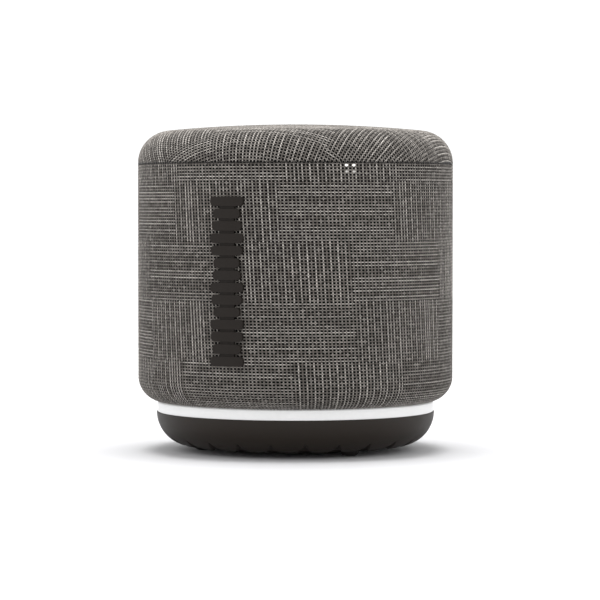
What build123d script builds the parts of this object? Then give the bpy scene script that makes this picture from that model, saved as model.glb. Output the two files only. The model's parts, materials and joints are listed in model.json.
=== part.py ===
"""Portable smart speaker: a fabric-covered drum on a shallow rubber base with a light ring between them.

Millimetres, +Z up, origin on the floor under the middle of the drum. The front is -Y and the
control strip is at +Y. Azimuths are degrees from the front towards +X.
"""

import math
import os

from build123d import *

# ---- Drum ----------------------------------------------------------------------------------
BODY_RADIUS = 57.0        # fabric surface of the drum
SEAM_HEIGHT = 103.7       # where the top fabric meets the side fabric
CAP_CORNER = 11.8         # rounding between the side and the top
CAP_DOME_RADIUS = 500.0   # very flat dome of the top
SKIRT_CORNER = 9.0        # rounding under the drum
FABRIC = 0.8              # thickness of the woven cover
COVER_GAP = 0.1           # between the cover and what carries it
SEAM_LAP = 0.1            # the top fabric reaches this far under the corner
SEAM_GAP = 0.2            # open line between the two fabrics

# ---- Clearances ----------------------------------------------------------------------------
FIT = 0.1                 # plain assembly clearance
LOOSE = 0.3               # between parts that must never rub
THREAD_GAP = 0.03         # round a screw's thread
BONDED = 0.02             # glue line between parts that are stuck together

# ---- Base and feet -------------------------------------------------------------------------
BASE_INSET = 6.7          # the base's wall stands in from the drum's
BASE_CORNER = 12.2
BASE_RIM = 0.1            # upright stretch over the corner
BASE_WALL = 2.2
BASE_PAD = 0.6            # thicker floor round the feet and screws
FOOT_LIFT = 1.8           # how far the feet hold the base off the table
FOOT_COUNT = 3
FOOT_AZIMUTH = 35.0
FOOT_INSET = 4.7          # from the corner's inner end
FOOT_RADIUS = 3.1
FOOT_FLAT = 1.6           # radius of the flat tip
FOOT_SEAT_DEPTH = 1.0
FOOT_STEM = 1.3
FOOT_BUTTON = 0.45        # how far the stem's head reaches past the stem
LOBE_COUNT = 24
LOBE_AZIMUTH = 4.3
LOBE_TOOL = 3.2           # radius of the groove between two lobes
LOBE_DEPTH = 1.1
LOBE_START = 5.0          # degrees up the corner where a groove starts
LOBE_FADE = 50.0          # and where it runs out

# ---- Light ring ----------------------------------------------------------------------------
RING_INSET = 0.3          # from the base's wall
RING_HEIGHT = 3.5
RING_BAND = 2.2
RING_LEDGE = 3.4          # flange inside the band
RING_FLANGE = 1.5
RING_SOFT = 0.25          # broken edges
LED_COUNT = 16
LED_BOARD_WIDTH = 6.9
LED_BOARD = 1.0
LED_BOARD_SINK = 0.5      # below the base's rim
LED_SIZE = (2.8, 1.6, 0.9)

# ---- Battery -------------------------------------------------------------------------------
BATTERY_SIZE = (44.0, 32.0, 7.0)
BATTERY_STRIP = (24.0, 3.0, 3.0)
LEAD_RADIUS = 1.1
LEAD_SIDE = 6.0           # where the battery lead leaves the cell
LEAD_REACH = 10.2
LEAD_BEND = 4.0

# ---- Screws --------------------------------------------------------------------------------
LONG_THREAD = 1.25
LID_THREAD = 1.05
BOARD_THREAD = 1.0
SMALL_THREAD = 0.85
LARGE_HEAD = 2.3
LID_HEAD = 2.1
SMALL_HEAD = 1.8
HEAD_HEIGHT = 1.3
THREAD_END = 1.0          # hole left past a screw's tip

# ---- Tray and main board -------------------------------------------------------------------
TRAY_FLANGE = 2.0
TRAY_RECESS = (20.0, 2.4)
LEG_SCREW_SINK = 2.0      # from the tray's underside to the screw's seat
LEG_SCREW_LENGTH = 11.0
BOARD = 1.6
BOARD_LIFT = 4.4
BOARD_POST = 2.6
BOARD_SCREW_LENGTH = 5.0
PARTS_ROOM = 13.4         # between the main board and the acoustic box

# ---- Grille frame --------------------------------------------------------------------------
FRAME_WALL = 2.0
FRAME_LIP = 3.7           # turned-in width under the drum
FRAME_DROP = 0.5          # frame's rim below the seam
HEM = 0.4                 # the cover stops short of the lip's edge
WINDOW_SIZE = (10.5, 7.2)
WINDOW_RIB = (4.1, 2.8)   # least bars between windows
WINDOW_EDGE = 2.2

# ---- Acoustic box --------------------------------------------------------------------------
SIDE_SPACE = 10.1         # round the box, for the rear board and the cables
HORN_SPACE = 22.5         # from the box's rim to the seam
BOX_WALL = 2.4
SEAL = 0.8
SEAL_INSET = 0.2
LID = 2.5
LEG_INSET = 3.0
LEG_RADIUS = 2.9
LID_BOSS = 2.9
LID_SCREW_INSET = 4.6
LID_SCREW_LENGTH = 12.0
DEFLECTOR_FOOT = 1.5
DEFLECTOR_RING = (8.0, 1.0)   # insets of the foot ring's two edges
DEFLECTOR_TIP = 5.0       # over the lid
DEFLECTOR_NOSE = 1.0      # radius of the blunt tip
DEFLECTOR_DROP = 5.2      # rim below the seam
DEFLECTOR_INSET = 4.0
DEFLECTOR_SKIN = 1.5
DEFLECTOR_POST = 2.0

# ---- Driver --------------------------------------------------------------------------------
CONE_RADIUS = 21.0
CONE_SKIN = 0.5
CONE_LIP = 1.0
CONE_LIFT = 8.3           # foot of the cone over the pole plate
SURROUND_ROOM = 4.6       # from the cone to the lid's opening
SURROUND_SKIN = 0.35
BASKET_SEAT = 2.8         # from the opening to the screws
BASKET_FLANGE = (5.4, 1.5)
BASKET_SKIN = 1.2
BASKET_GAP = 0.4
BASKET_FOOT = 3.0
BASKET_DROP = 4.0         # upright stretch of the basket under the lid
DRIVER_DEPTH = 17.4       # lid to pole plate
DRIVER_SCREW_LENGTH = 5.0
DUST_CAP = (9.0, 3.0, 0.4)    # radius, rise and skin
DUST_CAP_LIFT = 2.9
SPIDER_LEDGE = (15.0, 1.9)
SPIDER_LIFT = 5.6
SPIDER_SKIN = 0.3
SPIDER_WAVES = 6
SPIDER_WAVE = 0.5
MAGNET_RADIUS = 19.0
MAGNET_HEIGHT = 8.0
STEEL = 3.0               # pole plates
COIL_RADIUS = 6.55
COIL_FORMER = 0.15
COIL_WALL = 0.35
COIL_GAP = 0.35
COIL_REACH = 1.0          # winding past the pole plate at each side
POLE_RISE = 0.8

# ---- Passive radiator ----------------------------------------------------------------------
RADIATOR_OPENING = 27.0
RADIATOR_EDGE = 8.0       # flexible edge between the piston and the opening
RADIATOR_SKIN = 0.6
RADIATOR_RIM = 3.2        # clamped width
RADIATOR_PLATE = 1.6
RADIATOR_WEIGHT = (8.0, 2.2)

# ---- Cap and top board ---------------------------------------------------------------------
CAP_WALL = 2.2
CAP_SKIRT = 1.8
CAP_SKIRT_DEPTH = 6.5
CAP_LAND = 2.0            # thickened ring over the frame's rim
CAP_BOSS = 2.6
TOP_BOARD_LIFT = 4.7      # over the seam
TOP_BOARD_RADIUS = 32.0
TOP_BOARD = 1.2
TOP_BOARD_TAB = 8.0
TOP_SCREW_INSET = 6.0
TOP_SCREW_LENGTH = 4.6
MIC_COUNT = 4
MIC_CIRCLE = 20.0
MIC_SIZE = (3.5, 2.65, 1.1)
MIC_BORE = 0.7
MIC_BOOT = 2.2
STATUS_AZIMUTH = 18.7
STATUS_DROP = 2.8         # below the seam
STATUS_PIPE = 4.0         # square section of the light pipe
STATUS_INSET = 7.5        # the lamp stands in from the frame's wall
STATUS_LAMP = (3.2, 2.4, 1.0)

# ---- Cables --------------------------------------------------------------------------------
SPEAKER_LEAD = 1.0
SPEAKER_LEAD_RISE = 6.0   # over the box's bottom
SPEAKER_BEND = 2.4
CABLE_SIZE = (7.0, 0.3)
CABLE_SPACE = 4.0         # outside the box
CABLE_BEND = 1.8

# ---- Rear control strip --------------------------------------------------------------------
BUTTONS = (
    "power_button", "volume_down_button", "voice_button", "volume_up_button", "mic_mute_button",
)
BUTTON_RADIUS = 3.8
BUTTON_GAP = 0.2
BUTTON_LIP = 0.8
BUTTON_LIP_HEIGHT = 1.0
BUTTON_SEAT = 2.2         # face of the strip behind which the lip stops
BUTTON_WEB = 0.4          # between two pockets
BUTTON_TRAVEL = 0.7
BUTTON_PROUD = 0.45
BUTTON_STEM = 1.5
STRIP_SIDE = 3.7          # beside a pocket
STRIP_ENDS = (16.0, 8.0)  # below the lowest key's middle, and above the highest's
STRIP_DROP = 9.7          # top of the strip below the seam
STRIP_PROUD = 0.6
STRIP_FLANGE = 2.0        # how far the hidden flange reaches past the opening
STRIP_DEPTH = 5.8
SOCKET_DROP = 9.6         # below the lowest key
SOCKET_SIZE = (8.9, 3.2)
SOCKET_SHELL = 0.3
SOCKET_SINK = 0.6         # mouth behind the drum's surface
SOCKET_TONGUE = (6.2, 0.7)
PORT_GAP = 0.25
REAR_POST = (2.0, 1.6)    # radius and height
REAR_BOARD = 1.2
REAR_BOARD_INSET = (1.0, 2.0)
REAR_SCREW_INSET = 3.1
REAR_SCREW_LENGTH = 4.4
SWITCH_SIZE = (4.5, 4.5, 0.6)

# ---- Emblem --------------------------------------------------------------------------------
EMBLEM_AZIMUTH = -23.7
EMBLEM_RISE = 1.65        # over the drum's middle
EMBLEM_BAR = 3.3
EMBLEM_ROUND = 1.4        # corners of a bar
EMBLEM_PITCH = 4.24
EMBLEM_WIDTHS = (12.2, 10.4, 11.8, 12.2, 9.6, 11.2, 12.2, 10.2, 9.4, 11.6, 12.2, 10.8, 9.8, 12.2)
EMBLEM_SPINE = 5.4
EMBLEM_SPINE_RAISE = 0.8
EMBLEM_RAISE = 1.3
PIN_RADIUS = 1.0
PIN_SPREAD = 21.5
PIN_TAIL = 2.2            # past the frame's wall
NUT = (2.6, 0.5)          # radius and thickness of a push nut
NUT_LIFT = 0.9

# ---- Radii and levels worked out from the sizes above --------------------------------------
CAP_AXIS = math.sqrt((CAP_DOME_RADIUS - CAP_CORNER) ** 2 - (BODY_RADIUS - CAP_CORNER) ** 2)
DOME_CENTRE = SEAM_HEIGHT - CAP_AXIS
FRAME_RADIUS = BODY_RADIUS - FABRIC - COVER_GAP
FRAME_BORE = FRAME_RADIUS - FRAME_WALL
FRAME_LIP_INNER = BODY_RADIUS - SKIRT_CORNER - FRAME_LIP

BASE_RADIUS = BODY_RADIUS - BASE_INSET
BASE_TOP = FOOT_LIFT + BASE_CORNER + BASE_RIM
BASE_FLOOR = FOOT_LIFT + BASE_WALL
BASE_SCREW_SEAT = BASE_FLOOR + BASE_PAD
FOOT_CIRCLE = BASE_RADIUS - BASE_CORNER - FOOT_INSET
BASE_SCREW_CIRCLE = FOOT_CIRCLE - LARGE_HEAD
RING_RADIUS = BASE_RADIUS - RING_INSET
RING_TOP = BASE_TOP + RING_HEIGHT
SKIRT_BOTTOM = RING_TOP + FIT
LED_BOARD_OUTER = RING_RADIUS - RING_BAND - LOOSE - FIT
LED_BOARD_BOTTOM = BASE_TOP - LED_BOARD_SINK

TRAY_BOTTOM = SKIRT_BOTTOM
TRAY_PLUG_RADIUS = FRAME_LIP_INNER - LOOSE - FIT
TRAY_FLANGE_RADIUS = BODY_RADIUS - SKIRT_CORNER - FIT
FRAME_LIP_TOP = SKIRT_BOTTOM + FABRIC + COVER_GAP + FRAME_WALL
TRAY_TOP = FRAME_LIP_TOP + TRAY_FLANGE
FRAME_SCREW_CIRCLE = (FRAME_LIP_INNER + TRAY_FLANGE_RADIUS) / 2
LEG_SCREW_SEAT = TRAY_BOTTOM + LEG_SCREW_SINK

BOX_RADIUS = FRAME_BORE - SIDE_SPACE
LEG_CIRCLE = BOX_RADIUS - LEG_INSET
BOARD_RADIUS = LEG_CIRCLE - LEG_RADIUS - BOARD
BOARD_SCREW_CIRCLE = BOARD_RADIUS - BOARD_LIFT
BOARD_BOTTOM = TRAY_TOP + BOARD_LIFT
BOARD_TOP = BOARD_BOTTOM + BOARD
BOX_BOTTOM = BOARD_TOP + PARTS_ROOM
BOX_TOP = SEAM_HEIGHT - HORN_SPACE
LID_BOTTOM = BOX_TOP + SEAL
LID_TOP = LID_BOTTOM + LID
LID_SCREW_CIRCLE = BOX_RADIUS - LID_SCREW_INSET
DEFLECTOR_RIM = BOX_RADIUS - DEFLECTOR_INSET

DRIVER_OPENING = CONE_RADIUS + SURROUND_ROOM
DRIVER_SCREW_CIRCLE = DRIVER_OPENING + BASKET_SEAT
BASKET_THROAT = DRIVER_OPENING - BASKET_GAP - BASKET_SKIN
BASKET_TOP = LID_TOP + BASKET_FLANGE[1]
TOP_PLATE_TOP = LID_TOP - DRIVER_DEPTH
MAGNET_TOP = TOP_PLATE_TOP - STEEL
YOKE_TOP = MAGNET_TOP - MAGNET_HEIGHT
SPIDER_SEAT = TOP_PLATE_TOP + SPIDER_LIFT - SPIDER_SKIN
CONE_FOOT = TOP_PLATE_TOP + CONE_LIFT
CONE_RIM = BASKET_TOP - CONE_SKIN
PISTON_RADIUS = RADIATOR_OPENING - RADIATOR_EDGE

CAP_INSET = FABRIC + COVER_GAP
CAP_UNDER = CAP_DOME_RADIUS - CAP_INSET - CAP_WALL
TOP_BOARD_BOTTOM = SEAM_HEIGHT + TOP_BOARD_LIFT
TOP_BOARD_TOP = TOP_BOARD_BOTTOM + TOP_BOARD
TOP_SCREW_CIRCLE = TOP_BOARD_RADIUS - TOP_SCREW_INSET
STATUS_CIRCLE = FRAME_BORE - STATUS_INSET
STATUS_HEIGHT = SEAM_HEIGHT - STATUS_DROP

BUTTON_POCKET = BUTTON_RADIUS + BUTTON_LIP + BUTTON_GAP
BUTTON_PITCH = 2 * BUTTON_POCKET + BUTTON_WEB
STRIP_WIDTH = 2 * (BUTTON_POCKET + STRIP_SIDE)
STRIP_LENGTH = (len(BUTTONS) - 1) * BUTTON_PITCH + sum(STRIP_ENDS)
STRIP_TOP = SEAM_HEIGHT - STRIP_DROP
STRIP_MIDDLE = STRIP_TOP - STRIP_LENGTH / 2
STRIP_BACK = BODY_RADIUS - STRIP_DEPTH
BUTTON_LOWEST = STRIP_TOP - STRIP_LENGTH + STRIP_ENDS[0]
LIP_SEAT = STRIP_BACK + BUTTON_SEAT
SOCKET_HEIGHT = BUTTON_LOWEST - SOCKET_DROP
REAR_BOARD_Y = STRIP_BACK - REAR_POST[1]
REAR_SCREW_SIDE = STRIP_WIDTH / 2 - REAR_SCREW_INSET

DRUM_MIDDLE = (SKIRT_BOTTOM + SEAM_HEIGHT) / 2
EMBLEM_MIDDLE = DRUM_MIDDLE + EMBLEM_RISE
FAR = 10.0                # how far a cutting tool runs past what it cuts
STAND = (Align.CENTER, Align.CENTER, Align.MIN)


# ---- Helpers -------------------------------------------------------------------------------
def lathe(*edges):
    """The solid that a closed outline in the (radius, height) plane sweeps about the axis."""
    return revolve(Plane.XZ * make_face(Curve() + list(edges)), Axis.Z)


def lathe_points(*points):
    """The same for an outline of straight lines."""
    return lathe(Polyline(*points, close=True))


def tube(inner, outer, low, high):
    """A plain ring, or a disc when inner is 0."""
    face = Circle(outer) - Circle(inner) if inner > 0 else Circle(outer)
    return Pos(0, 0, low) * extrude(face, high - low)


def at(azimuth, radius=0.0, height=0.0):
    """A place at an azimuth: local -Y points outwards there."""
    return Rot(0, 0, azimuth) * Pos(0, -radius, height)


def ring_of(count, radius, first=0.0, height=0.0):
    """Evenly spaced places on a circle."""
    return [at(first + 360 * k / count, radius, height) for k in range(count)]


def copies(places, shape):
    """The same shape at each place."""
    return [place * shape for place in places]


def arc_point(centre, radius, angle):
    """A point of the (radius, height) plane at an angle up from straight down."""
    turn = math.radians(angle)
    return (centre[0] + radius * math.sin(turn), centre[1] - radius * math.cos(turn))


def screw(thread, head, length):
    """A pan-head screw that points down from z = 0, with a cross recess."""
    shank = Pos(0, 0, -length) * Cylinder(thread, length, align=STAND)
    pan = Cylinder(head, HEAD_HEIGHT, align=STAND)
    pan = fillet(pan.edges().group_by(Axis.Z)[-1], HEAD_HEIGHT * 0.45)
    slot = Box(head * 1.1, head * 0.28, HEAD_HEIGHT)
    cross = Pos(0, 0, HEAD_HEIGHT) * (slot + Rot(0, 0, 90) * slot)
    return shank + pan - cross


def screw_hole(thread, low, high):
    """A hole for a thread, between two heights."""
    return tube(0, thread + THREAD_GAP, low, high)


def screws_down(places, thread, head, length):
    """One node holding a screw that points down at each place."""
    return Compound(copies(places, screw(thread, head, length)))


def screws_up(places, thread, head, length):
    """The same with the screws pointing up."""
    return Compound(copies(places, Rot(180, 0, 0) * screw(thread, head, length)))


def cap_outline(offset, bottom):
    """Outline of the top, offset inwards: from the axis over the dome and the corner down to bottom."""
    corner, dome = CAP_CORNER - offset, CAP_DOME_RADIUS - offset
    middle = (BODY_RADIUS - CAP_CORNER, SEAM_HEIGHT)
    lean = math.degrees(math.atan2(middle[0], CAP_AXIS))
    crown = (0.0, DOME_CENTRE + dome)
    edge = arc_point((0, DOME_CENTRE), dome, 180 - lean)
    side = (middle[0] + corner, SEAM_HEIGHT)
    low = (side[0], bottom)
    edges = [
        ThreePointArc(crown, arc_point((0, DOME_CENTRE), dome, 180 - lean / 2), edge),
        ThreePointArc(edge, arc_point(middle, corner, 135 - lean / 2), side),
        Line(side, low),
    ]
    return edges, crown, low


def cap_shell(offset, thickness, bottom):
    """A shell of the top between two offsets."""
    outer, crown, low = cap_outline(offset, bottom)
    inner, inner_crown, inner_low = cap_outline(offset + thickness, bottom)
    return lathe(*outer, Line(low, inner_low), *inner, Line(inner_crown, crown))


def drum_core(inset, top):
    """All that lies inside the drum's side, offset inwards, down to its rounded lower edge."""
    middle = (BODY_RADIUS - SKIRT_CORNER, SKIRT_BOTTOM + SKIRT_CORNER)
    corner = SKIRT_CORNER - inset
    low, side = arc_point(middle, corner, 0), arc_point(middle, corner, 90)
    return lathe(
        Line((0, low[1]), low),
        ThreePointArc(low, arc_point(middle, corner, 45), side),
        Line(side, (side[0], top)),
        Line((side[0], top), (0, top)),
        Line((0, top), (0, low[1])),
    )


def skirt_shell(inset, thickness, top, lip_inner):
    """A shell of the drum's side with its rounded lower edge turned in to lip_inner."""
    shell = drum_core(inset, top) - drum_core(inset + thickness, top + FAR)
    return shell - tube(0, lip_inner, 0, DRUM_MIDDLE)


def radial_rod(radius, inner, outer):
    """A round bar that lies along the outward direction of its place."""
    return Pos(0, -inner, 0) * Rot(90, 0, 0) * Cylinder(radius, outer - inner, align=STAND)


def rear_rod(radius, y_low, y_high, x=0.0, height=0.0):
    """A round bar along +Y at the rear."""
    return Pos(x, y_high, height) * Rot(90, 0, 0) * Cylinder(radius, y_high - y_low, align=STAND)


def rear_bar(sketch, y_low, y_high, height):
    """A sketch drawn across the rear, run along +Y between two depths."""
    return Pos(0, y_high, height) * extrude(Plane.XZ * sketch, y_high - y_low)


def strip_bar(grow, y_low, y_high):
    """The strip's upright round-ended outline, grown all round."""
    outline = SlotOverall(STRIP_LENGTH + 2 * grow, STRIP_WIDTH + 2 * grow, rotation=90)
    return rear_bar(outline, y_low, y_high, STRIP_MIDDLE)


# ---- Base ----------------------------------------------------------------------------------
def base_screw_places(height=0.0):
    return ring_of(FOOT_COUNT, BASE_SCREW_CIRCLE, FOOT_AZIMUTH + 180 / FOOT_COUNT, height)


def foot_places():
    return ring_of(FOOT_COUNT, FOOT_CIRCLE, FOOT_AZIMUTH)


def lobe_groove():
    """One groove at azimuth 0: round-ended by the flat underside, and narrowing out up the corner."""
    shift = LOBE_DEPTH / math.sin(math.radians(LOBE_FADE))
    centre = (BASE_RADIUS - BASE_CORNER + shift, FOOT_LIFT + BASE_CORNER)
    bend = BASE_CORNER + LOBE_TOOL - LOBE_DEPTH
    last = LOBE_FADE + 20

    def space(angle):
        radius, height = arc_point(centre, bend, angle)
        return Vector(0, -radius, height)

    path = ThreePointArc(space(LOBE_START), space((LOBE_START + last) / 2), space(last))
    run = sweep(Plane(path @ 0, z_dir=path % 0) * Circle(LOBE_TOOL), path)
    return run + Pos(path @ 0) * Sphere(LOBE_TOOL)


def base_bowl():
    """The rubber-skinned tub under the drum, with lobes round its underside."""
    middle = (BASE_RADIUS - BASE_CORNER, FOOT_LIFT + BASE_CORNER)
    corner = BASE_CORNER - BASE_WALL
    bore = BASE_RADIUS - BASE_WALL
    tub = lathe(
        Line((0, FOOT_LIFT), (middle[0], FOOT_LIFT)),
        ThreePointArc((middle[0], FOOT_LIFT), arc_point(middle, BASE_CORNER, 45), (BASE_RADIUS, middle[1])),
        Line((BASE_RADIUS, middle[1]), (BASE_RADIUS, BASE_TOP)),
        Line((BASE_RADIUS, BASE_TOP), (bore, BASE_TOP)),
        Line((bore, BASE_TOP), (bore, middle[1])),
        ThreePointArc((bore, middle[1]), arc_point(middle, corner, 45), (middle[0], BASE_FLOOR)),
        Line((middle[0], BASE_FLOOR), (0, BASE_FLOOR)),
        Line((0, BASE_FLOOR), (0, FOOT_LIFT)),
    )
    tub += tube(LED_BOARD_OUTER - 3.0, bore + 0.5, LED_BOARD_BOTTOM - 2.5, LED_BOARD_BOTTOM)
    tub -= copies(ring_of(LOBE_COUNT, 0, LOBE_AZIMUTH), lobe_groove())
    boss = tube(0, LARGE_HEAD + 0.7, BASE_FLOOR - 1.0, TRAY_BOTTOM - FIT)
    pad = tube(0, FOOT_RADIUS + BASE_PAD * 2, FOOT_LIFT, BASE_SCREW_SEAT)
    tub += copies(base_screw_places(), boss) + copies(foot_places(), pad)
    seat = tube(0, FOOT_RADIUS + FIT, 0, FOOT_LIFT + FOOT_SEAT_DEPTH)
    stem_hole = tube(0, FOOT_STEM + FIT, FOOT_LIFT, BASE_SCREW_SEAT + FAR)
    tub -= copies(foot_places(), seat + stem_hole)
    sink = tube(0, LARGE_HEAD + FIT, 0, BASE_SCREW_SEAT)
    return tub - copies(base_screw_places(), sink + screw_hole(LONG_THREAD, BASE_FLOOR, TRAY_BOTTOM + FAR))


def rubber_foot(place):
    """A domed rubber foot with a button-headed stem that is pulled through the base."""
    seat = FOOT_LIFT + FOOT_SEAT_DEPTH - BONDED
    collar = BASE_SCREW_SEAT + BONDED
    tip = collar + 1.3
    flank = (FOOT_RADIUS - 0.5, FOOT_LIFT * 0.35)
    return place * lathe(
        Line((0, 0), (FOOT_FLAT, 0)),
        ThreePointArc((FOOT_FLAT, 0), flank, (FOOT_RADIUS, FOOT_LIFT)),
        Polyline((FOOT_RADIUS, FOOT_LIFT), (FOOT_RADIUS, seat), (FOOT_STEM, seat), (FOOT_STEM, collar),
                 (FOOT_STEM + FOOT_BUTTON, collar), (FOOT_STEM * 0.7, tip), (0, tip), (0, 0)),
    )


def base_screws():
    """Long screws that come up through the base into the tray."""
    length = TRAY_TOP - THREAD_END - BASE_SCREW_SEAT
    return screws_up(base_screw_places(BASE_SCREW_SEAT), LONG_THREAD, LARGE_HEAD, length)


def battery_pack():
    """Flat lithium cell with a small protection board on one edge."""
    low = BASE_FLOOR + FIT
    cell = Pos(0, 0, low) * Box(*BATTERY_SIZE, align=STAND)
    cell = fillet(cell.edges().filter_by(Axis.Y), 2.0)
    edge = (BATTERY_SIZE[1] + BATTERY_STRIP[1]) / 2
    return cell + Pos(0, edge, low + 2.0) * Box(*BATTERY_STRIP, align=STAND)


def lead_y():
    return BATTERY_SIZE[1] / 2 + LEAD_REACH


def battery_lead():
    """Sleeved two-core lead from the cell's edge up through the tray to the main board."""
    low = BASE_FLOOR + FIT + 2.0 + BATTERY_STRIP[2] / 2
    start = BATTERY_SIZE[1] / 2 + BATTERY_STRIP[1]
    route = FilletPolyline((LEAD_SIDE, start, low), (LEAD_SIDE, lead_y(), low),
                           (LEAD_SIDE, lead_y(), BOARD_BOTTOM - FIT), radius=LEAD_BEND)
    return sweep(Plane(route @ 0, z_dir=route % 0) * Circle(LEAD_RADIUS), route)


# ---- Light ring ----------------------------------------------------------------------------
def light_ring():
    """Milky diffuser: an upright band with a flange over the lamps."""
    inner = RING_RADIUS - RING_BAND
    flange = inner - RING_LEDGE
    return lathe_points(
        (inner, BASE_TOP), (RING_RADIUS - RING_SOFT, BASE_TOP), (RING_RADIUS, BASE_TOP + RING_SOFT),
        (RING_RADIUS, RING_TOP - RING_SOFT), (RING_RADIUS - RING_SOFT, RING_TOP), (flange, RING_TOP),
        (flange, RING_TOP - RING_FLANGE), (inner, RING_TOP - RING_FLANGE),
    )


def led_ring_board():
    """Ring-shaped circuit board that carries the lamps."""
    inner = LED_BOARD_OUTER - LED_BOARD_WIDTH
    return tube(inner, LED_BOARD_OUTER, LED_BOARD_BOTTOM, LED_BOARD_BOTTOM + LED_BOARD)


def ring_leds():
    """Side-firing lamps along the board's outer edge."""
    lamp = Box(*LED_SIZE, align=(Align.CENTER, Align.MIN, Align.MIN))
    places = ring_of(LED_COUNT, LED_BOARD_OUTER - FIT, 180 / LED_COUNT, LED_BOARD_BOTTOM + LED_BOARD)
    return Compound(copies(places, lamp))


# ---- Tray and main board -------------------------------------------------------------------
def board_screw_places(height=0.0):
    return ring_of(3, BOARD_SCREW_CIRCLE, 20, height)


def leg_places(height=0.0):
    return ring_of(3, LEG_CIRCLE, 60, height)


def frame_screw_places(height=0.0):
    return ring_of(4, FRAME_SCREW_CIRCLE, 45, height)


def chassis_tray():
    """Structural plate that joins the base, the grille frame and the acoustic box."""
    tray = tube(0, TRAY_PLUG_RADIUS, TRAY_BOTTOM, TRAY_TOP)
    tray += tube(0, TRAY_FLANGE_RADIUS, FRAME_LIP_TOP, TRAY_TOP)
    tray += copies(board_screw_places(), tube(0, BOARD_POST, TRAY_TOP - 0.5, BOARD_BOTTOM))
    tray -= tube(0, TRAY_RECESS[0], 0, TRAY_BOTTOM + TRAY_RECESS[1])
    board_hole = screw_hole(BOARD_THREAD, BOARD_TOP - BOARD_SCREW_LENGTH - THREAD_END, BOARD_TOP)
    base_hole = screw_hole(LONG_THREAD, 0, TRAY_TOP - THREAD_END + BASE_PAD)
    leg_hole = tube(0, LARGE_HEAD + FIT, 0, LEG_SCREW_SEAT) + screw_hole(LONG_THREAD, 0, TRAY_TOP + FAR)
    frame_hole = screw_hole(LID_THREAD, FRAME_LIP_TOP - FAR, TRAY_TOP + FAR)
    tray -= copies(board_screw_places(), board_hole) + copies(base_screw_places(), base_hole)
    tray -= copies(leg_places(), leg_hole) + copies(frame_screw_places(), frame_hole)
    slot = Box(LEAD_RADIUS * 4, LEAD_RADIUS * 5, TRAY_TOP * 2)
    return tray - Pos(LEAD_SIDE, lead_y(), TRAY_TOP) * slot


def frame_screws():
    length = FRAME_WALL + TRAY_FLANGE - BASE_PAD
    return screws_down(frame_screw_places(TRAY_TOP), LID_THREAD, SMALL_HEAD, length)


def enclosure_screws():
    """Screws that come up through the tray into the legs of the acoustic box."""
    return screws_up(leg_places(LEG_SCREW_SEAT), LONG_THREAD, LARGE_HEAD, LEG_SCREW_LENGTH)


def main_board():
    board = tube(0, BOARD_RADIUS, BOARD_BOTTOM, BOARD_TOP)
    return board - copies(board_screw_places(), screw_hole(BOARD_THREAD, BOARD_BOTTOM - 1, BOARD_TOP + 1))


def board_screws():
    return screws_down(board_screw_places(BOARD_TOP), BOARD_THREAD, SMALL_HEAD, BOARD_SCREW_LENGTH)


def main_board_chips():
    """Amplifier, power chips, coils, capacitors and plugs on the main board."""
    blocks = [(-19, -6, 7, 7, 1.0), (-18, 6, 6.5, 6.5, 3.2), (-20, 15, 4, 5, 1.0), (17, -14, 5, 4, 0.9),
              (20, -4, 3.2, 3.2, 1.2), (21, 4, 3.2, 3.2, 1.2), (17, 13, 8, 4, 4.6), (-4, 24, 10, 4.4, 4.2),
              (-8, -24, 6, 6, 0.9), (4, -25, 3, 5, 1.1), (10, -22, 2, 3, 0.8)]
    cans = [(-10, 15.5), (-27, 0.5), (28, 3)]
    parts = [Pos(x, y, BOARD_TOP) * Box(w, d, h, align=STAND) for x, y, w, d, h in blocks]
    parts += [Pos(x, y, BOARD_TOP) * Cylinder(3.0, 5.6, align=STAND) for x, y in cans]
    return Compound(parts)


def shield_can():
    """Pressed metal lid over the radio and processor."""
    place = Pos(1, 0, BOARD_TOP)
    can = place * Box(21, 19, 2.6, align=STAND)
    can = fillet(can.edges().filter_by(Axis.Z) + can.edges().group_by(Axis.Z)[-1], 0.6)
    return can - place * Box(20.4, 18.4, 2.3, align=STAND)


# ---- Grille frame and covers ---------------------------------------------------------------
def pin_places():
    return [at(EMBLEM_AZIMUTH, 0, EMBLEM_MIDDLE + step) for step in (-PIN_SPREAD, 0, PIN_SPREAD)]


def apart(first, second):
    """Arc length on the frame between two azimuths."""
    return abs((first - second + 180) % 360 - 180) * math.radians(FRAME_RADIUS)


def solid_wall(azimuth, height):
    """True where the frame has no window: behind the strip and round the emblem's pins."""
    half_width, half_height = WINDOW_SIZE[0] / 2, WINDOW_SIZE[1] / 2
    behind_strip = apart(azimuth, 180) < STRIP_WIDTH / 2 + STRIP_FLANGE + half_width
    beside_pins = apart(azimuth, EMBLEM_AZIMUTH) < NUT[0] + half_width + 1.0
    steps = [abs(height - EMBLEM_MIDDLE - step) for step in (-PIN_SPREAD, 0, PIN_SPREAD)]
    return behind_strip or (beside_pins and min(steps) < NUT[0] + half_height)


def window_places():
    """Rows and columns of windows that fill the frame's wall with the least bars between."""
    low = SKIRT_BOTTOM + SKIRT_CORNER + WINDOW_EDGE + WINDOW_SIZE[1] / 2
    high = SEAM_HEIGHT - CAP_SKIRT_DEPTH - WINDOW_EDGE - WINDOW_SIZE[1] / 2
    rows = int((high - low) / (WINDOW_SIZE[1] + WINDOW_RIB[1])) + 1
    columns = int(2 * math.pi * FRAME_RADIUS / (WINDOW_SIZE[0] + WINDOW_RIB[0]))
    heights = [low + (high - low) * row / (rows - 1) for row in range(rows)]
    azimuths = [360 * column / columns for column in range(columns)]
    return [at(a, FRAME_RADIUS, h) for a in azimuths for h in heights if not solid_wall(a, h)]


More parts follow.
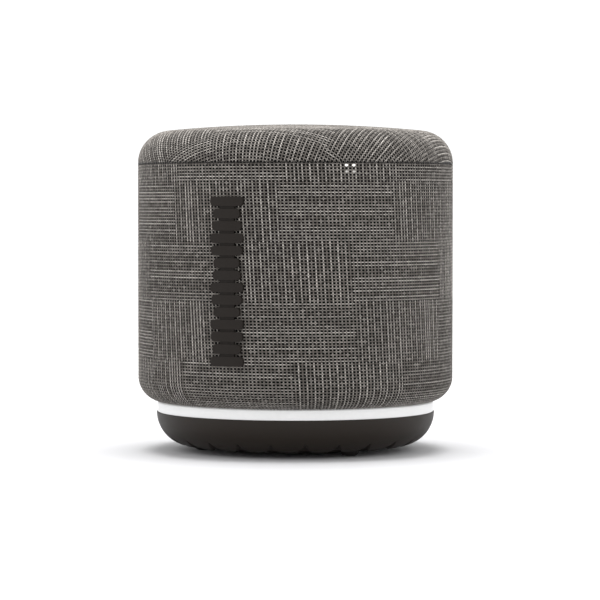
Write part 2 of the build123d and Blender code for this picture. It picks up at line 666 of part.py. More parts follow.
def grille_frame():
    """Open plastic cage that holds the side fabric in shape."""
    frame = skirt_shell(CAP_INSET, FRAME_WALL, SEAM_HEIGHT - FRAME_DROP, FRAME_LIP_INNER)
    frame -= copies(window_places(), Box(WINDOW_SIZE[0], 4 * FRAME_WALL, WINDOW_SIZE[1]))
    frame -= copies(pin_places(), radial_rod(PIN_RADIUS + FIT, FRAME_BORE - 5, BODY_RADIUS + 5))
    frame -= strip_bar(FIT, STRIP_BACK - FAR, BODY_RADIUS + FAR)
    frame -= copies(frame_screw_places(), screw_hole(LID_THREAD, 0, FRAME_LIP_TOP + 1))
    port = STATUS_PIPE + 2 * FIT
    notch = Box(port, 4 * FRAME_WALL, port + FAR, align=STAND)
    return frame - at(STATUS_AZIMUTH, FRAME_RADIUS, STATUS_HEIGHT - port / 2) * notch


def fabric_sleeve():
    """Woven cover of the side, turned in under the drum."""
    sleeve = skirt_shell(0, FABRIC, SEAM_HEIGHT - SEAM_LAP - SEAM_GAP, FRAME_LIP_INNER + HEM)
    sleeve -= strip_bar(FIT, STRIP_BACK - FAR, BODY_RADIUS + FAR)
    return sleeve - copies(pin_places(), radial_rod(PIN_RADIUS + FIT, FRAME_BORE - 5, BODY_RADIUS + 5))


def top_fabric():
    """Woven cover of the top."""
    return cap_shell(0, FABRIC, SEAM_HEIGHT - SEAM_LAP)


def cap_boss_places(height=0.0):
    return ring_of(3, TOP_SCREW_CIRCLE, 60, height)


def mic_places(height=0.0):
    return ring_of(MIC_COUNT, MIC_CIRCLE, 180 / MIC_COUNT, height)


def top_cap():
    """Domed lid under the top fabric, with a skirt that snaps into the frame."""
    rim = SEAM_HEIGHT - LOOSE
    skirt = FRAME_BORE - LOOSE
    under = DOME_CENTRE + CAP_UNDER
    cap = cap_shell(CAP_INSET, CAP_WALL, rim)
    cap += tube(skirt - CAP_SKIRT, skirt, SEAM_HEIGHT - CAP_SKIRT_DEPTH, SEAM_HEIGHT + CAP_LAND)
    cap += tube(skirt - 0.5, FRAME_RADIUS - 0.5, rim, SEAM_HEIGHT + CAP_LAND)
    cap += copies(cap_boss_places(), tube(0, CAP_BOSS, TOP_BOARD_TOP, under))
    cap -= copies(cap_boss_places(), screw_hole(SMALL_THREAD, TOP_BOARD_TOP - 1, under - 0.6))
    cap -= copies(mic_places(), tube(0, MIC_BORE + 0.05, TOP_BOARD_TOP, under + FAR))
    notch_low, notch_high = SEAM_HEIGHT - CAP_SKIRT_DEPTH - 1, STATUS_HEIGHT + STATUS_PIPE / 2 + LOOSE
    notch = Box(STATUS_PIPE + 2, 4 * CAP_WALL, notch_high - notch_low, align=STAND)
    return cap - at(STATUS_AZIMUTH, skirt, notch_low) * notch


# ---- Emblem --------------------------------------------------------------------------------
def front_emblem():
    """Raised rubber sound-wave badge: rounded bars on a spine, with three pins."""
    reach = (len(EMBLEM_WIDTHS) - 1) / 2 * EMBLEM_PITCH
    bars = Sketch()
    for index, width in enumerate(EMBLEM_WIDTHS):
        bars += Pos(0, index * EMBLEM_PITCH - reach) * RectangleRounded(width, EMBLEM_BAR, EMBLEM_ROUND)

    def on_drum(sketch, rise):
        block = Pos(0, 0, EMBLEM_MIDDLE) * extrude(Plane.XZ * sketch, BODY_RADIUS + FAR)
        return block & tube(BODY_RADIUS + BONDED, BODY_RADIUS + rise, 0, SEAM_HEIGHT)

    badge = on_drum(bars, EMBLEM_RAISE) + on_drum(Rectangle(EMBLEM_SPINE, 2 * reach), EMBLEM_SPINE_RAISE)
    pin = radial_rod(PIN_RADIUS, FRAME_BORE - PIN_TAIL, BODY_RADIUS + EMBLEM_SPINE_RAISE / 2)
    return Rot(0, 0, EMBLEM_AZIMUTH) * badge + copies(pin_places(), pin)


def emblem_push_nuts():
    """Spring washers that grip the emblem's pins inside the frame."""
    inner = FRAME_BORE - NUT_LIFT
    nut = radial_rod(NUT[0], inner, inner + NUT[1]) - radial_rod(PIN_RADIUS + BONDED, inner - 1, inner + 1)
    return Compound(copies(pin_places(), nut))


# ---- Acoustic box --------------------------------------------------------------------------
def lid_screw_places(height=0.0):
    return ring_of(4, LID_SCREW_CIRCLE, 45, height)


def driver_screw_places(height=0.0):
    return ring_of(4, DRIVER_SCREW_CIRCLE, 0, height)


def enclosure_body():
    """Sealed tub with a round hole for the passive radiator and three legs."""
    bore = BOX_RADIUS - BOX_WALL
    body = lathe_points(
        (RADIATOR_OPENING, BOX_BOTTOM), (BOX_RADIUS, BOX_BOTTOM), (BOX_RADIUS, BOX_TOP), (bore, BOX_TOP),
        (bore, BOX_BOTTOM + BOX_WALL), (RADIATOR_OPENING, BOX_BOTTOM + BOX_WALL),
    )
    body += copies(leg_places(), tube(0, LEG_RADIUS, TRAY_TOP, BOX_BOTTOM + 0.5))
    body += copies(lid_screw_places(), tube(0, LID_BOSS, BOX_BOTTOM + 1, BOX_TOP))
    leg_hole = screw_hole(LONG_THREAD, 0, LEG_SCREW_SEAT + LEG_SCREW_LENGTH + THREAD_END)
    lid_hole = screw_hole(LID_THREAD, BOX_TOP - LID_SCREW_LENGTH, BOX_TOP + 1)
    body -= copies(leg_places(), leg_hole) + copies(lid_screw_places(), lid_hole)
    lead_hole = radial_rod(SPEAKER_LEAD + LOOSE, BOX_RADIUS - FAR, BOX_RADIUS + FAR)
    return body - at(90, 0, BOX_BOTTOM + SPEAKER_LEAD_RISE) * lead_hole


def enclosure_seal():
    """Flat rubber ring between the box and its lid."""
    seal = tube(BOX_RADIUS - BOX_WALL + SEAL_INSET, BOX_RADIUS - SEAL_INSET, BOX_TOP, LID_BOTTOM)
    return seal - copies(lid_screw_places(), tube(0, LID_BOSS + LOOSE, BOX_TOP - 1, LID_TOP))


def enclosure_lid():
    """Baffle plate that carries the driver."""
    lid = tube(DRIVER_OPENING, BOX_RADIUS, LID_BOTTOM, LID_TOP)
    hole = screw_hole(LID_THREAD, LID_BOTTOM - 1, LID_TOP + 1)
    return lid - copies(lid_screw_places() + driver_screw_places(), hole)


def lid_screws():
    return screws_down(lid_screw_places(LID_TOP + DEFLECTOR_FOOT), LID_THREAD, LID_HEAD, LID_SCREW_LENGTH)


def acoustic_deflector():
    """Upside-down cone over the driver that turns the sound outwards, on four posts."""
    tip, rim_height, rim = LID_TOP + DEFLECTOR_TIP, SEAM_HEIGHT - DEFLECTOR_DROP, DEFLECTOR_RIM
    nose, skin = DEFLECTOR_NOSE, DEFLECTOR_SKIN
    belly = (rim * 0.42, tip + (rim_height - tip) * 0.56)
    cone = lathe(
        Line((0, tip), (nose, tip)),
        ThreePointArc((nose, tip), belly, (rim, rim_height)),
        Line((rim, rim_height), (rim, rim_height + skin)),
        Line((rim, rim_height + skin), (rim - 2, rim_height + skin)),
        ThreePointArc((rim - 2, rim_height + skin), (belly[0], belly[1] + 1.3 * skin), (nose, tip + skin)),
        Line((nose, tip + skin), (0, tip + skin)),
        Line((0, tip + skin), (0, tip)),
    )
    inner, outer = (BOX_RADIUS - inset for inset in DEFLECTOR_RING)
    foot = tube(inner, outer, LID_TOP, LID_TOP + DEFLECTOR_FOOT)
    foot -= copies(lid_screw_places(), screw_hole(LID_THREAD, LID_TOP - 1, LID_TOP + FAR))
    post = tube(0, DEFLECTOR_POST, LID_TOP + 0.5, rim_height + 0.3)
    return cone + foot + copies(ring_of(4, rim - DEFLECTOR_POST - 0.2), post)


# ---- Driver --------------------------------------------------------------------------------
def driver_basket():
    """Frame of the driver, from its screw flange down to the pole plate."""
    wall = BASKET_THROAT + BASKET_SKIN
    ledge = SPIDER_LEDGE[0]
    foot = ledge + BASKET_FOOT
    plate = TOP_PLATE_TOP + BASKET_SKIN
    eye = COIL_RADIUS + COIL_WALL + 3.6
    flange = DRIVER_OPENING + BASKET_FLANGE[0]
    basket = lathe_points(
        (BASKET_THROAT, LID_TOP), (BASKET_THROAT, BASKET_TOP), (flange, BASKET_TOP), (flange, LID_TOP),
        (wall, LID_TOP), (wall, LID_TOP - BASKET_DROP),
        (foot, SPIDER_SEAT - SPIDER_SKIN), (foot, TOP_PLATE_TOP), (eye, TOP_PLATE_TOP), (eye, plate),
        (ledge, plate), (ledge, SPIDER_SEAT), (ledge + SPIDER_LEDGE[1], SPIDER_SEAT),
        (BASKET_THROAT, LID_TOP - BASKET_DROP - BASKET_SKIN / 2),
    )
    middle = (foot + wall) / 2
    vent = Box(9, 9, 5.0)
    basket -= copies(ring_of(4, middle, 45, (SPIDER_SEAT + LID_TOP - BASKET_DROP) / 2), vent)
    return basket - copies(driver_screw_places(), screw_hole(LID_THREAD, LID_TOP - 1, BASKET_TOP + 1))


def driver_screws():
    return screws_down(driver_screw_places(BASKET_TOP), LID_THREAD, SMALL_HEAD, DRIVER_SCREW_LENGTH)


def driver_top_plate():
    return tube(COIL_RADIUS + COIL_WALL + COIL_GAP, MAGNET_RADIUS - 1.5, MAGNET_TOP, TOP_PLATE_TOP)


def driver_magnet():
    return tube(COIL_RADIUS + 3.0, MAGNET_RADIUS, YOKE_TOP, MAGNET_TOP)


def driver_yoke():
    """Back plate and pole in one piece, with a vent through the pole."""
    plate = tube(0, MAGNET_RADIUS - 0.8, YOKE_TOP - STEEL, YOKE_TOP)
    pole = tube(0, COIL_RADIUS - COIL_GAP, YOKE_TOP - 0.5, TOP_PLATE_TOP + POLE_RISE)
    return plate + pole - tube(0, 2.0, YOKE_TOP - FAR, TOP_PLATE_TOP + FAR)


def voice_coil():
    """Former with its winding, which stays clear of the pole over the whole travel."""
    former_low = MAGNET_TOP - COIL_REACH - COIL_FORMER
    former = tube(COIL_RADIUS, COIL_RADIUS + COIL_FORMER, former_low, CONE_FOOT + CONE_SKIN)
    low, high = MAGNET_TOP - COIL_REACH, TOP_PLATE_TOP + COIL_REACH
    winding = tube(COIL_RADIUS + COIL_FORMER / 2, COIL_RADIUS + COIL_WALL, low, high)
    return former + winding


def driver_cone():
    """Paper cone from the coil to the surround."""
    skin = CONE_SKIN
    foot = COIL_RADIUS + COIL_FORMER
    lip = CONE_RADIUS + CONE_LIP
    belly = ((foot + CONE_RADIUS) / 2 + 0.7, (CONE_FOOT + CONE_RIM) / 2 + 0.5)
    return lathe(
        Line((foot, CONE_FOOT), (foot, CONE_FOOT + skin)),
        ThreePointArc((foot, CONE_FOOT + skin), (belly[0], belly[1] + skin), (CONE_RADIUS, CONE_RIM + skin)),
        Polyline((CONE_RADIUS, CONE_RIM + skin), (lip, CONE_RIM + skin), (lip, CONE_RIM),
                 (CONE_RADIUS + skin / 2, CONE_RIM)),
        ThreePointArc((CONE_RADIUS + skin / 2, CONE_RIM), (belly[0] + 0.4, belly[1]), (foot, CONE_FOOT)),
    )


def driver_dust_cap():
    """A thin spherical cap over the coil."""
    radius, rise, skin = DUST_CAP
    low = CONE_FOOT + DUST_CAP_LIFT
    ball = (radius ** 2 + rise ** 2) / (2 * rise)
    centre = Pos(0, 0, low + rise - ball)
    return (centre * (Sphere(ball) - Sphere(ball - skin))) & tube(0, radius, low, low + rise + FAR)


def half_roll(inner, left, right, outer, height, skin, up=1):
    """A flexible edge: a half-round roll from left to right, between two flat rims."""
    middle, roll = (left + right) / 2, (right - left) / 2
    back = height + up * skin
    return lathe(
        Line((inner, height), (left, height)),
        ThreePointArc((left, height), (middle, height + up * roll), (right, height)),
        Polyline((right, height), (outer, height), (outer, back), (right + skin, back)),
        ThreePointArc((right + skin, back), (middle, back + up * (roll + skin)), (left - skin, back)),
        Polyline((left - skin, back), (inner, back), (inner, height)),
    )


def driver_surround():
    """Rubber roll between the cone and the basket."""
    edge = CONE_RADIUS + CONE_LIP
    outer = DRIVER_SCREW_CIRCLE - LID_HEAD - FIT
    return half_roll(CONE_RADIUS + FIT, edge - FIT, BASKET_THROAT + 1.0, outer, BASKET_TOP + BONDED,
                     SURROUND_SKIN)


def driver_spider():
    """Corrugated cloth ring that centres the coil."""
    inner, outer = COIL_RADIUS + COIL_FORMER + BONDED, sum(SPIDER_LEDGE) - 0.2
    front, back = [], []
    for step in range(2 * SPIDER_WAVES + 1):
        radius = inner + (outer - inner) * step / (2 * SPIDER_WAVES)
        height = SPIDER_SEAT + BONDED + SPIDER_WAVE * (step % 2)
        front.append((radius, height))
        back.append((radius, height + SPIDER_SKIN))
    return lathe_points(*front, *reversed(back))


def speaker_lead():
    """Lead from the box's wall down to the main board."""
    side, over = BOX_RADIUS + 3.6, BOARD_TOP + 5
    route = FilletPolyline((BOX_RADIUS - 3.2, 0, BOX_BOTTOM + SPEAKER_LEAD_RISE),
                           (side, 0, BOX_BOTTOM + SPEAKER_LEAD_RISE), (side, 0, over),
                           (BOARD_RADIUS - 4, 0, over), (BOARD_RADIUS - 4, 0, BOARD_TOP + FIT),
                           radius=SPEAKER_BEND)
    return sweep(Plane(route @ 0, z_dir=route % 0) * Circle(SPEAKER_LEAD), route)


# ---- Passive radiator ----------------------------------------------------------------------
def radiator_frame():
    """Ring that clamps the radiator's edge under the box."""
    high = BOX_BOTTOM - RADIATOR_SKIN - 2 * BONDED
    outer = RADIATOR_OPENING + RADIATOR_RIM + 1.8
    clamp = tube(RADIATOR_OPENING + 0.2, outer, high - RADIATOR_PLATE, high)
    return clamp + tube(RADIATOR_OPENING + RADIATOR_RIM + 0.2, outer, high - RADIATOR_PLATE, BOX_BOTTOM)


def radiator_piston():
    """Stiff disc with a steel weight on it."""
    top = BOX_BOTTOM + RADIATOR_PLATE
    disc = tube(0, PISTON_RADIUS, BOX_BOTTOM, top)
    return disc + tube(0, PISTON_RADIUS - RADIATOR_WEIGHT[0], top - 0.1, top + RADIATOR_WEIGHT[1])


def radiator_surround():
    """Rubber roll between the piston and the box."""
    return half_roll(PISTON_RADIUS - 2.4, PISTON_RADIUS + 1.0, RADIATOR_OPENING - 1.2,
                     RADIATOR_OPENING + RADIATOR_RIM, BOX_BOTTOM - BONDED, RADIATOR_SKIN, up=-1)


# ---- Top board -----------------------------------------------------------------------------
def top_board():
    """Round board for the microphones, with a tab for the status lamp."""
    board = tube(0, TOP_BOARD_RADIUS, TOP_BOARD_BOTTOM, TOP_BOARD_TOP)
    length = STATUS_CIRCLE - TOP_BOARD_RADIUS + 5
    tab = Box(TOP_BOARD_TAB, length, TOP_BOARD, align=(Align.CENTER, Align.MIN, Align.MIN))
    board += at(STATUS_AZIMUTH, STATUS_CIRCLE + 1.5, TOP_BOARD_BOTTOM) * tab
    hole = screw_hole(SMALL_THREAD, TOP_BOARD_BOTTOM - 1, TOP_BOARD_TOP + 1)
    return board - copies(cap_boss_places(), hole)


def top_board_screws():
    """Screws that come up through the top board into the cap."""
    return screws_up(cap_boss_places(TOP_BOARD_BOTTOM), SMALL_THREAD, SMALL_HEAD, TOP_SCREW_LENGTH)


def microphones():
    return Compound(copies(mic_places(TOP_BOARD_TOP), Box(*MIC_SIZE, align=STAND)))


def mic_boots():
    """Rubber tubes that seal each microphone to its hole in the cap."""
    under = DOME_CENTRE + math.sqrt(CAP_UNDER ** 2 - (MIC_CIRCLE + MIC_BOOT) ** 2)
    boot = tube(MIC_BORE, MIC_BOOT, TOP_BOARD_TOP + MIC_SIZE[2], under - BONDED)
    return Compound(copies(mic_places(), boot))


def status_led():
    place = at(STATUS_AZIMUTH, STATUS_CIRCLE, TOP_BOARD_BOTTOM - STATUS_LAMP[2])
    return place * Box(*STATUS_LAMP, align=STAND)


def status_light_pipe():
    """Clear bar that takes the lamp's light down and out to the back of the fabric."""
    half = STATUS_PIPE / 2
    reach = FRAME_RADIUS - LOOSE - STATUS_CIRCLE
    low = STATUS_HEIGHT - half
    down = Box(STATUS_PIPE, STATUS_PIPE, TOP_BOARD_BOTTOM - STATUS_LAMP[2] - FIT - low, align=STAND)
    lying = (Align.CENTER, Align.MAX, Align.MIN)
    across = Pos(0, half, 0) * Box(STATUS_PIPE, reach + half, STATUS_PIPE, align=lying)
    return at(STATUS_AZIMUTH, STATUS_CIRCLE, low) * (down + across)


def top_board_cable():
    """Flat cable from the main board up past the acoustic box to the top board."""
    width, skin = CABLE_SIZE
    outside = -(BOX_RADIUS + CABLE_SPACE)
    low, high = BOARD_TOP + skin, TOP_BOARD_BOTTOM - skin
    route = FilletPolyline((5 - BOARD_RADIUS, 0, low), (outside, 0, low), (outside, 0, high - 3),
                           (1 - TOP_BOARD_RADIUS, 0, high), radius=CABLE_BEND)
    return sweep(Plane(route @ 0, x_dir=(0, 1, 0), z_dir=route % 0) * Rectangle(width, skin), route)


# ---- Rear strip ----------------------------------------------------------------------------
def button_heights():
    return [BUTTON_LOWEST + k * BUTTON_PITCH for k in range(len(BUTTONS))]


def rear_screw_places():
    """Two places beside the keys, each level with the web between two of them."""
    steps = ((-1, 0.5), (1, len(BUTTONS) - 1.5))
    return [Pos(side * REAR_SCREW_SIDE, 0, BUTTON_LOWEST + step * BUTTON_PITCH) for side, step in steps]


def rear_panel():
    """Rubber-faced strip with five button holes and the charging port."""
    front = strip_bar(0, STRIP_BACK, BODY_RADIUS + FAR) & drum_core(-STRIP_PROUD, SEAM_HEIGHT)
    flange = strip_bar(STRIP_FLANGE, STRIP_BACK, BODY_RADIUS)
    panel = front + (flange & drum_core(CAP_INSET + FRAME_WALL + BONDED, SEAM_HEIGHT))
    post = rear_rod(REAR_POST[0], REAR_BOARD_Y, STRIP_BACK + 0.5)
    screw_tip = REAR_BOARD_Y - REAR_BOARD + REAR_SCREW_LENGTH
    thread = rear_rod(SMALL_THREAD + THREAD_GAP, REAR_BOARD_Y - 1, screw_tip + THREAD_END)
    panel += copies(rear_screw_places(), post)
    panel -= copies(rear_screw_places(), thread)
    hole = rear_rod(BUTTON_RADIUS + BUTTON_GAP, STRIP_BACK - 1, BODY_RADIUS + FAR)
    hole += rear_rod(BUTTON_POCKET, STRIP_BACK - 1, LIP_SEAT)
    panel -= [Pos(0, 0, height) * hole for height in button_heights()]
    mouth = SlotOverall(SOCKET_SIZE[0] + 2 * PORT_GAP, SOCKET_SIZE[1] + 2 * PORT_GAP)
    return panel - rear_bar(mouth, STRIP_BACK - 1, BODY_RADIUS + FAR, SOCKET_HEIGHT)


def rear_button(height):
    """A round key with a hidden lip and a stem that presses its switch."""
    shelf = LIP_SEAT - FIT
    face = rear_rod(BUTTON_RADIUS, shelf - 0.5, BODY_RADIUS + FAR, 0, height)
    face &= tube(0, BODY_RADIUS + STRIP_PROUD + BUTTON_PROUD, 0, SEAM_HEIGHT)
    lip = rear_rod(BUTTON_RADIUS + BUTTON_LIP, shelf - BUTTON_LIP_HEIGHT, shelf, 0, height)
    key = REAR_BOARD_Y + SWITCH_SIZE[2] + BUTTON_TRAVEL + 0.05
    return face + lip + rear_rod(BUTTON_STEM, key, shelf - 0.5, 0, height)


def rear_board():
    """Narrow board behind the strip."""
    size = (STRIP_WIDTH - 2 * REAR_BOARD_INSET[0], REAR_BOARD, STRIP_LENGTH - 2 * REAR_BOARD_INSET[1])
    board = Pos(0, REAR_BOARD_Y, STRIP_MIDDLE) * Box(*size, align=(Align.CENTER, Align.MAX, Align.CENTER))
    return board - copies(rear_screw_places(), rear_rod(SMALL_THREAD + THREAD_GAP, 0, REAR_BOARD_Y + 1))


def rear_board_screws():
    """Screws that go outwards through the rear board into the strip."""
    outwards = Pos(0, REAR_BOARD_Y - REAR_BOARD, 0) * Rot(90, 0, 0)
    one = outwards * screw(SMALL_THREAD, SMALL_HEAD, REAR_SCREW_LENGTH)
    return Compound(copies(rear_screw_places(), one))


def tact_switches():
    width, tall, thick = SWITCH_SIZE
    key = Pos(0, REAR_BOARD_Y, 0) * Box(width, thick, tall, align=(Align.CENTER, Align.MIN, Align.CENTER))
    return Compound([Pos(0, 0, height) * key for height in button_heights()])


def usb_socket():
    """Charging socket: a pressed shell with its contact tongue."""
    width, height = SOCKET_SIZE
    mouth = BODY_RADIUS - SOCKET_SINK
    inside = SlotOverall(width - 2 * SOCKET_SHELL, height - 2 * SOCKET_SHELL)
    shell = rear_bar(SlotOverall(width, height), REAR_BOARD_Y, mouth, SOCKET_HEIGHT)
    shell -= rear_bar(inside, REAR_BOARD_Y + 0.8, mouth + 1, SOCKET_HEIGHT)
    return shell + rear_bar(Rectangle(*SOCKET_TONGUE), REAR_BOARD_Y + 0.5, mouth - 0.8, SOCKET_HEIGHT)


# ---- Everything ----------------------------------------------------------------------------
def all_parts():
    """Every node by name."""
    parts = {
        "top_fabric": top_fabric(),
        "top_cap": top_cap(),
        "fabric_sleeve": fabric_sleeve(),
        "grille_frame": grille_frame(),
        "front_emblem": front_emblem(),
        "emblem_push_nuts": emblem_push_nuts(),
        "light_ring": light_ring(),
        "led_ring_board": led_ring_board(),
        "ring_leds": ring_leds(),
        "base_bowl": base_bowl(),
        "base_screws": base_screws(),
        "battery_pack": battery_pack(),
        "battery_lead": battery_lead(),
        "chassis_tray": chassis_tray(),
        "frame_screws": frame_screws(),
        "main_board": main_board(),
        "main_board_chips": main_board_chips(),
        "shield_can": shield_can(),
        "board_screws": board_screws(),
        "enclosure_body": enclosure_body(),
        "enclosure_lid": enclosure_lid(),
        "enclosure_seal": enclosure_seal(),
        "enclosure_screws": enclosure_screws(),
        "lid_screws": lid_screws(),
        "acoustic_deflector": acoustic_deflector(),
        "driver_basket": driver_basket(),
        "driver_top_plate": driver_top_plate(),
        "driver_magnet": driver_magnet(),
        "driver_yoke": driver_yoke(),
        "voice_coil": voice_coil(),
        "driver_cone": driver_cone(),
        "driver_dust_cap": driver_dust_cap(),
        "driver_surround": driver_surround(),
        "driver_spider": driver_spider(),
        "driver_screws": driver_screws(),
        "speaker_lead": speaker_lead(),
        "radiator_frame": radiator_frame(),
        "radiator_piston": radiator_piston(),
        "radiator_surround": radiator_surround(),
        "top_board": top_board(),
        "top_board_screws": top_board_screws(),
        "microphones": microphones(),
        "mic_boots": mic_boots(),
        "status_led": status_led(),
        "status_light_pipe": status_light_pipe(),
        "top_board_cable": top_board_cable(),
        "rear_panel": rear_panel(),
        "rear_board": rear_board(),
        "rear_board_screws": rear_board_screws(),
        "tact_switches": tact_switches(),
        "usb_socket": usb_socket(),
    }
    for number, place in enumerate(foot_places(), start=1):
        parts[f"rubber_foot_{number}"] = rubber_foot(place)
    for name, height in zip(BUTTONS, button_heights()):
        parts[name] = rear_button(height)
    return parts


os.makedirs("parts", exist_ok=True)
for node, shape in all_parts().items():
    export_step(shape, f"parts/{node}.step")
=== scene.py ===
"""A drum-shaped smart speaker: woven cover, light ring, rubber base, raised emblem and rear keys."""

import json
import math

import bmesh
import bpy
import numpy as np
from bpy.props import FloatProperty, FloatVectorProperty, IntProperty, PointerProperty
from bpy.types import Operator, Panel, PropertyGroup
from mathutils import Matrix, Vector


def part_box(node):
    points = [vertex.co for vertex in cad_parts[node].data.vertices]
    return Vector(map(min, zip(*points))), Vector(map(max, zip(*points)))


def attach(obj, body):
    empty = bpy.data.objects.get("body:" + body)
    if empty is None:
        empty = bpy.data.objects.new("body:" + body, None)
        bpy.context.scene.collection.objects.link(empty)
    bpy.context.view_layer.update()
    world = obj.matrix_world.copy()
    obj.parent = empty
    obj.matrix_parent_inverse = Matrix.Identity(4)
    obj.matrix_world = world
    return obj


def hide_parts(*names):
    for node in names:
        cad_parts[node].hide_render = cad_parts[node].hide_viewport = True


bl_info = {
    "name": "Fabric Drum Speaker",
    "version": (1, 0, 0),
    "blender": (4, 5, 0),
    "location": "View3D > Sidebar > Speaker",
    "description": "Builds the visible pieces of a fabric drum speaker round its frame",
    "category": "Add Mesh",
}

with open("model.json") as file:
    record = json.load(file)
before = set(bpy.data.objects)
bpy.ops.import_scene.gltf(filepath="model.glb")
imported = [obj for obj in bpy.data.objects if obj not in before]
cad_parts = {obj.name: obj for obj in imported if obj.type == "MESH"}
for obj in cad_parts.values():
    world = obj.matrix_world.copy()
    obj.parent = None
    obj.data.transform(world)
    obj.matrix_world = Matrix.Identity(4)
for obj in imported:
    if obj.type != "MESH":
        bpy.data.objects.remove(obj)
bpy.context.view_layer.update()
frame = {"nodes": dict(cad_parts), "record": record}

MM = 0.001
TURN = 2 * math.pi
QUARTER = math.pi / 2
LEVEL = (QUARTER, 0, 0)

SLEEVE_LOW, SLEEVE_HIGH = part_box("fabric_sleeve")
CAP_LOW, CAP_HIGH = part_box("top_fabric")
BASE_LOW, BASE_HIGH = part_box("base_bowl")
RING_LOW, RING_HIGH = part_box("light_ring")
PANEL_LOW, PANEL_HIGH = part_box("rear_panel")
EMBLEM_LOW, EMBLEM_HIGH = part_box("front_emblem")
PIPE_LOW, PIPE_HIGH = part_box("status_light_pipe")
DRUM = SLEEVE_HIGH.x
KEYS = ("power_button", "volume_down_button", "voice_button", "volume_up_button", "mic_mute_button")
FEET = ("rubber_foot_1", "rubber_foot_2", "rubber_foot_3")


# ---- Sizes and colours a user would change -------------------------------------------------
def length(name, description, default):
    """A length in metres."""
    return FloatProperty(name=name, description=description, default=default, unit="LENGTH", precision=5)


def angle(name, description, degrees):
    """An angle, given in degrees."""
    return FloatProperty(name=name, description=description, default=math.radians(degrees), subtype="ANGLE")


def number(name, description, default):
    """A plain factor."""
    return FloatProperty(name=name, description=description, default=default)


def count(name, description, default):
    """A whole number."""
    return IntProperty(name=name, description=description, default=default, min=1)


def colour(name, description, default):
    """A colour in linear light."""
    return FloatVectorProperty(name=name, description=description, default=default, subtype="COLOR",
                               min=0, max=1)


class SpeakerCloth(PropertyGroup):
    """The mesh cloth of both covers."""

    columns: count("Columns", "Holes of the cloth once round the drum", 264)
    row: length("Row", "Distance between two rows of holes", 1.095 * MM)
    dimple: length("Dimple", "How far a hole is sunk between the threads", 0.50 * MM)
    roll: length("Roll", "Radius of the cloth's turned edge", 0.375 * MM)
    tuck: length("Tuck", "Cloth behind a turned edge", 0.45 * MM)
    unevenness: length("Unevenness", "How far the threads stray", 0.035 * MM)
    corner: length("Lower corner", "Rounding under the drum", 9.0 * MM)
    hem: length("Hem", "Radius where the side cover ends under the drum", 44.7 * MM)
    cap_corner: length("Upper corner", "Rounding between the side and the top", 11.8 * MM)
    patch_columns: count("Patch columns", "Width of a woven patch, in holes", 31)
    patch_rows: count("Patch rows", "Height of a woven patch, in rows", 19)
    lean: angle("Lean", "How far the side's upright threads lean, going down to the right", 3.5)
    top_turn: angle("Turn of the top", "How far the top's threads are turned from the front", 18)
    yarn: colour("Yarn", "Dark yarn", (0.080, 0.071, 0.063))
    pale: colour("Pale yarn", "Pale yarn of the stripes", (0.60, 0.565, 0.525))
    # Hole colour: painted near-black, partly the dark inside's own colour and partly painted shade within the
    # drum.
    hole: colour("Hole", "What shows through the holes", (0.0022, 0.0020, 0.0018))


class SpeakerBody(PropertyGroup):
    """The base, the light ring, the emblem and the rear strip."""

    corner: length("Base corner", "Rounding of the base", 12.2 * MM)
    wall: length("Base wall", "Thickness of the base's wall", 2.2 * MM)
    lobes: count("Lobes", "Lobes round the base's underside", 24)
    lobe_first: angle("First notch", "Azimuth of a notch between two lobes", 4.3)
    lobe_depth: length("Lobe depth", "How far the lobes stand out", 1.0 * MM)
    lobe_low: angle("Lobe foot", "Where a lobe ends, up the corner", 6)
    lobe_high: angle("Notch top", "Where a notch ends, up the corner", 46)
    foot_well: length("Foot well", "Radius of the seat sunk for a foot", 3.2 * MM)
    screw_well: length("Screw well", "Radius of the hole over a base screw", 2.4 * MM)
    band: length("Ring band", "Thickness of the light ring's band", 2.2 * MM)
    ledge: length("Ring ledge", "Flange inside the light ring", 3.4 * MM)
    bar: length("Bar height", "Height of one bar of the emblem", 3.3 * MM)
    bar_round: length("Bar corners", "Rounding of a bar's corners", 1.4 * MM)
    spine: length("Spine width", "Width of the strip behind the bars", 5.4 * MM)
    raise_bars: length("Emblem raise", "How far the bars stand out of the cloth", 1.3 * MM)
    raise_spine: length("Spine raise", "How far the spine stands out of the cloth", 0.8 * MM)
    strip_width: length("Strip width", "Width of the rear strip", 17.0 * MM)
    strip_proud: length("Strip raise", "How far the strip stands out of the cloth", 0.6 * MM)
    strip_flange: length("Strip flange", "Hidden edge of the strip behind the cloth", 2.0 * MM)
    key_radius: length("Key radius", "Radius of a key", 3.8 * MM)
    key_gap: length("Key gap", "Space round a key", 0.2 * MM)
    rubber: colour("Rubber", "Rubber of the base", (0.0150, 0.0110, 0.0082))
    trim: colour("Trim", "Rubber of the emblem and the strip", (0.0095, 0.0068, 0.0050))
    glow: number("Glow", "Brightness of the light ring", 0.36)


class SpeakerStage(PropertyGroup):
    """Camera, floor and lights."""

    distance: length("Distance", "From the drum's axis to the camera", 1.013)
    height: length("Height", "Height of the camera", 0.089)
    pitch: angle("Pitch", "How far the camera looks down", 1.97)
    aside: length("Aside", "How far the view's middle lies beside the axis", 1.65 * MM)
    lens: number("Lens", "Focal length in millimetres", 167.6)
    # Painted shadow: the floor round the speaker is given a darker colour than the far floor.
    floor: colour("Floor", "Colour of the floor round the speaker", (0.56, 0.56, 0.57))
    far_floor: colour("Far floor", "Colour of the floor far away", (0.92, 0.92, 0.92))
    sky: number("Surround", "Brightness of the white surround", 1.12)
    key_light: number("Key light", "Power of the large front light", 1.1)
    top_light: number("Top light", "Power of the light overhead", 7.6)
    side_light: number("Side light", "Power of each light beside the speaker", 1.35)


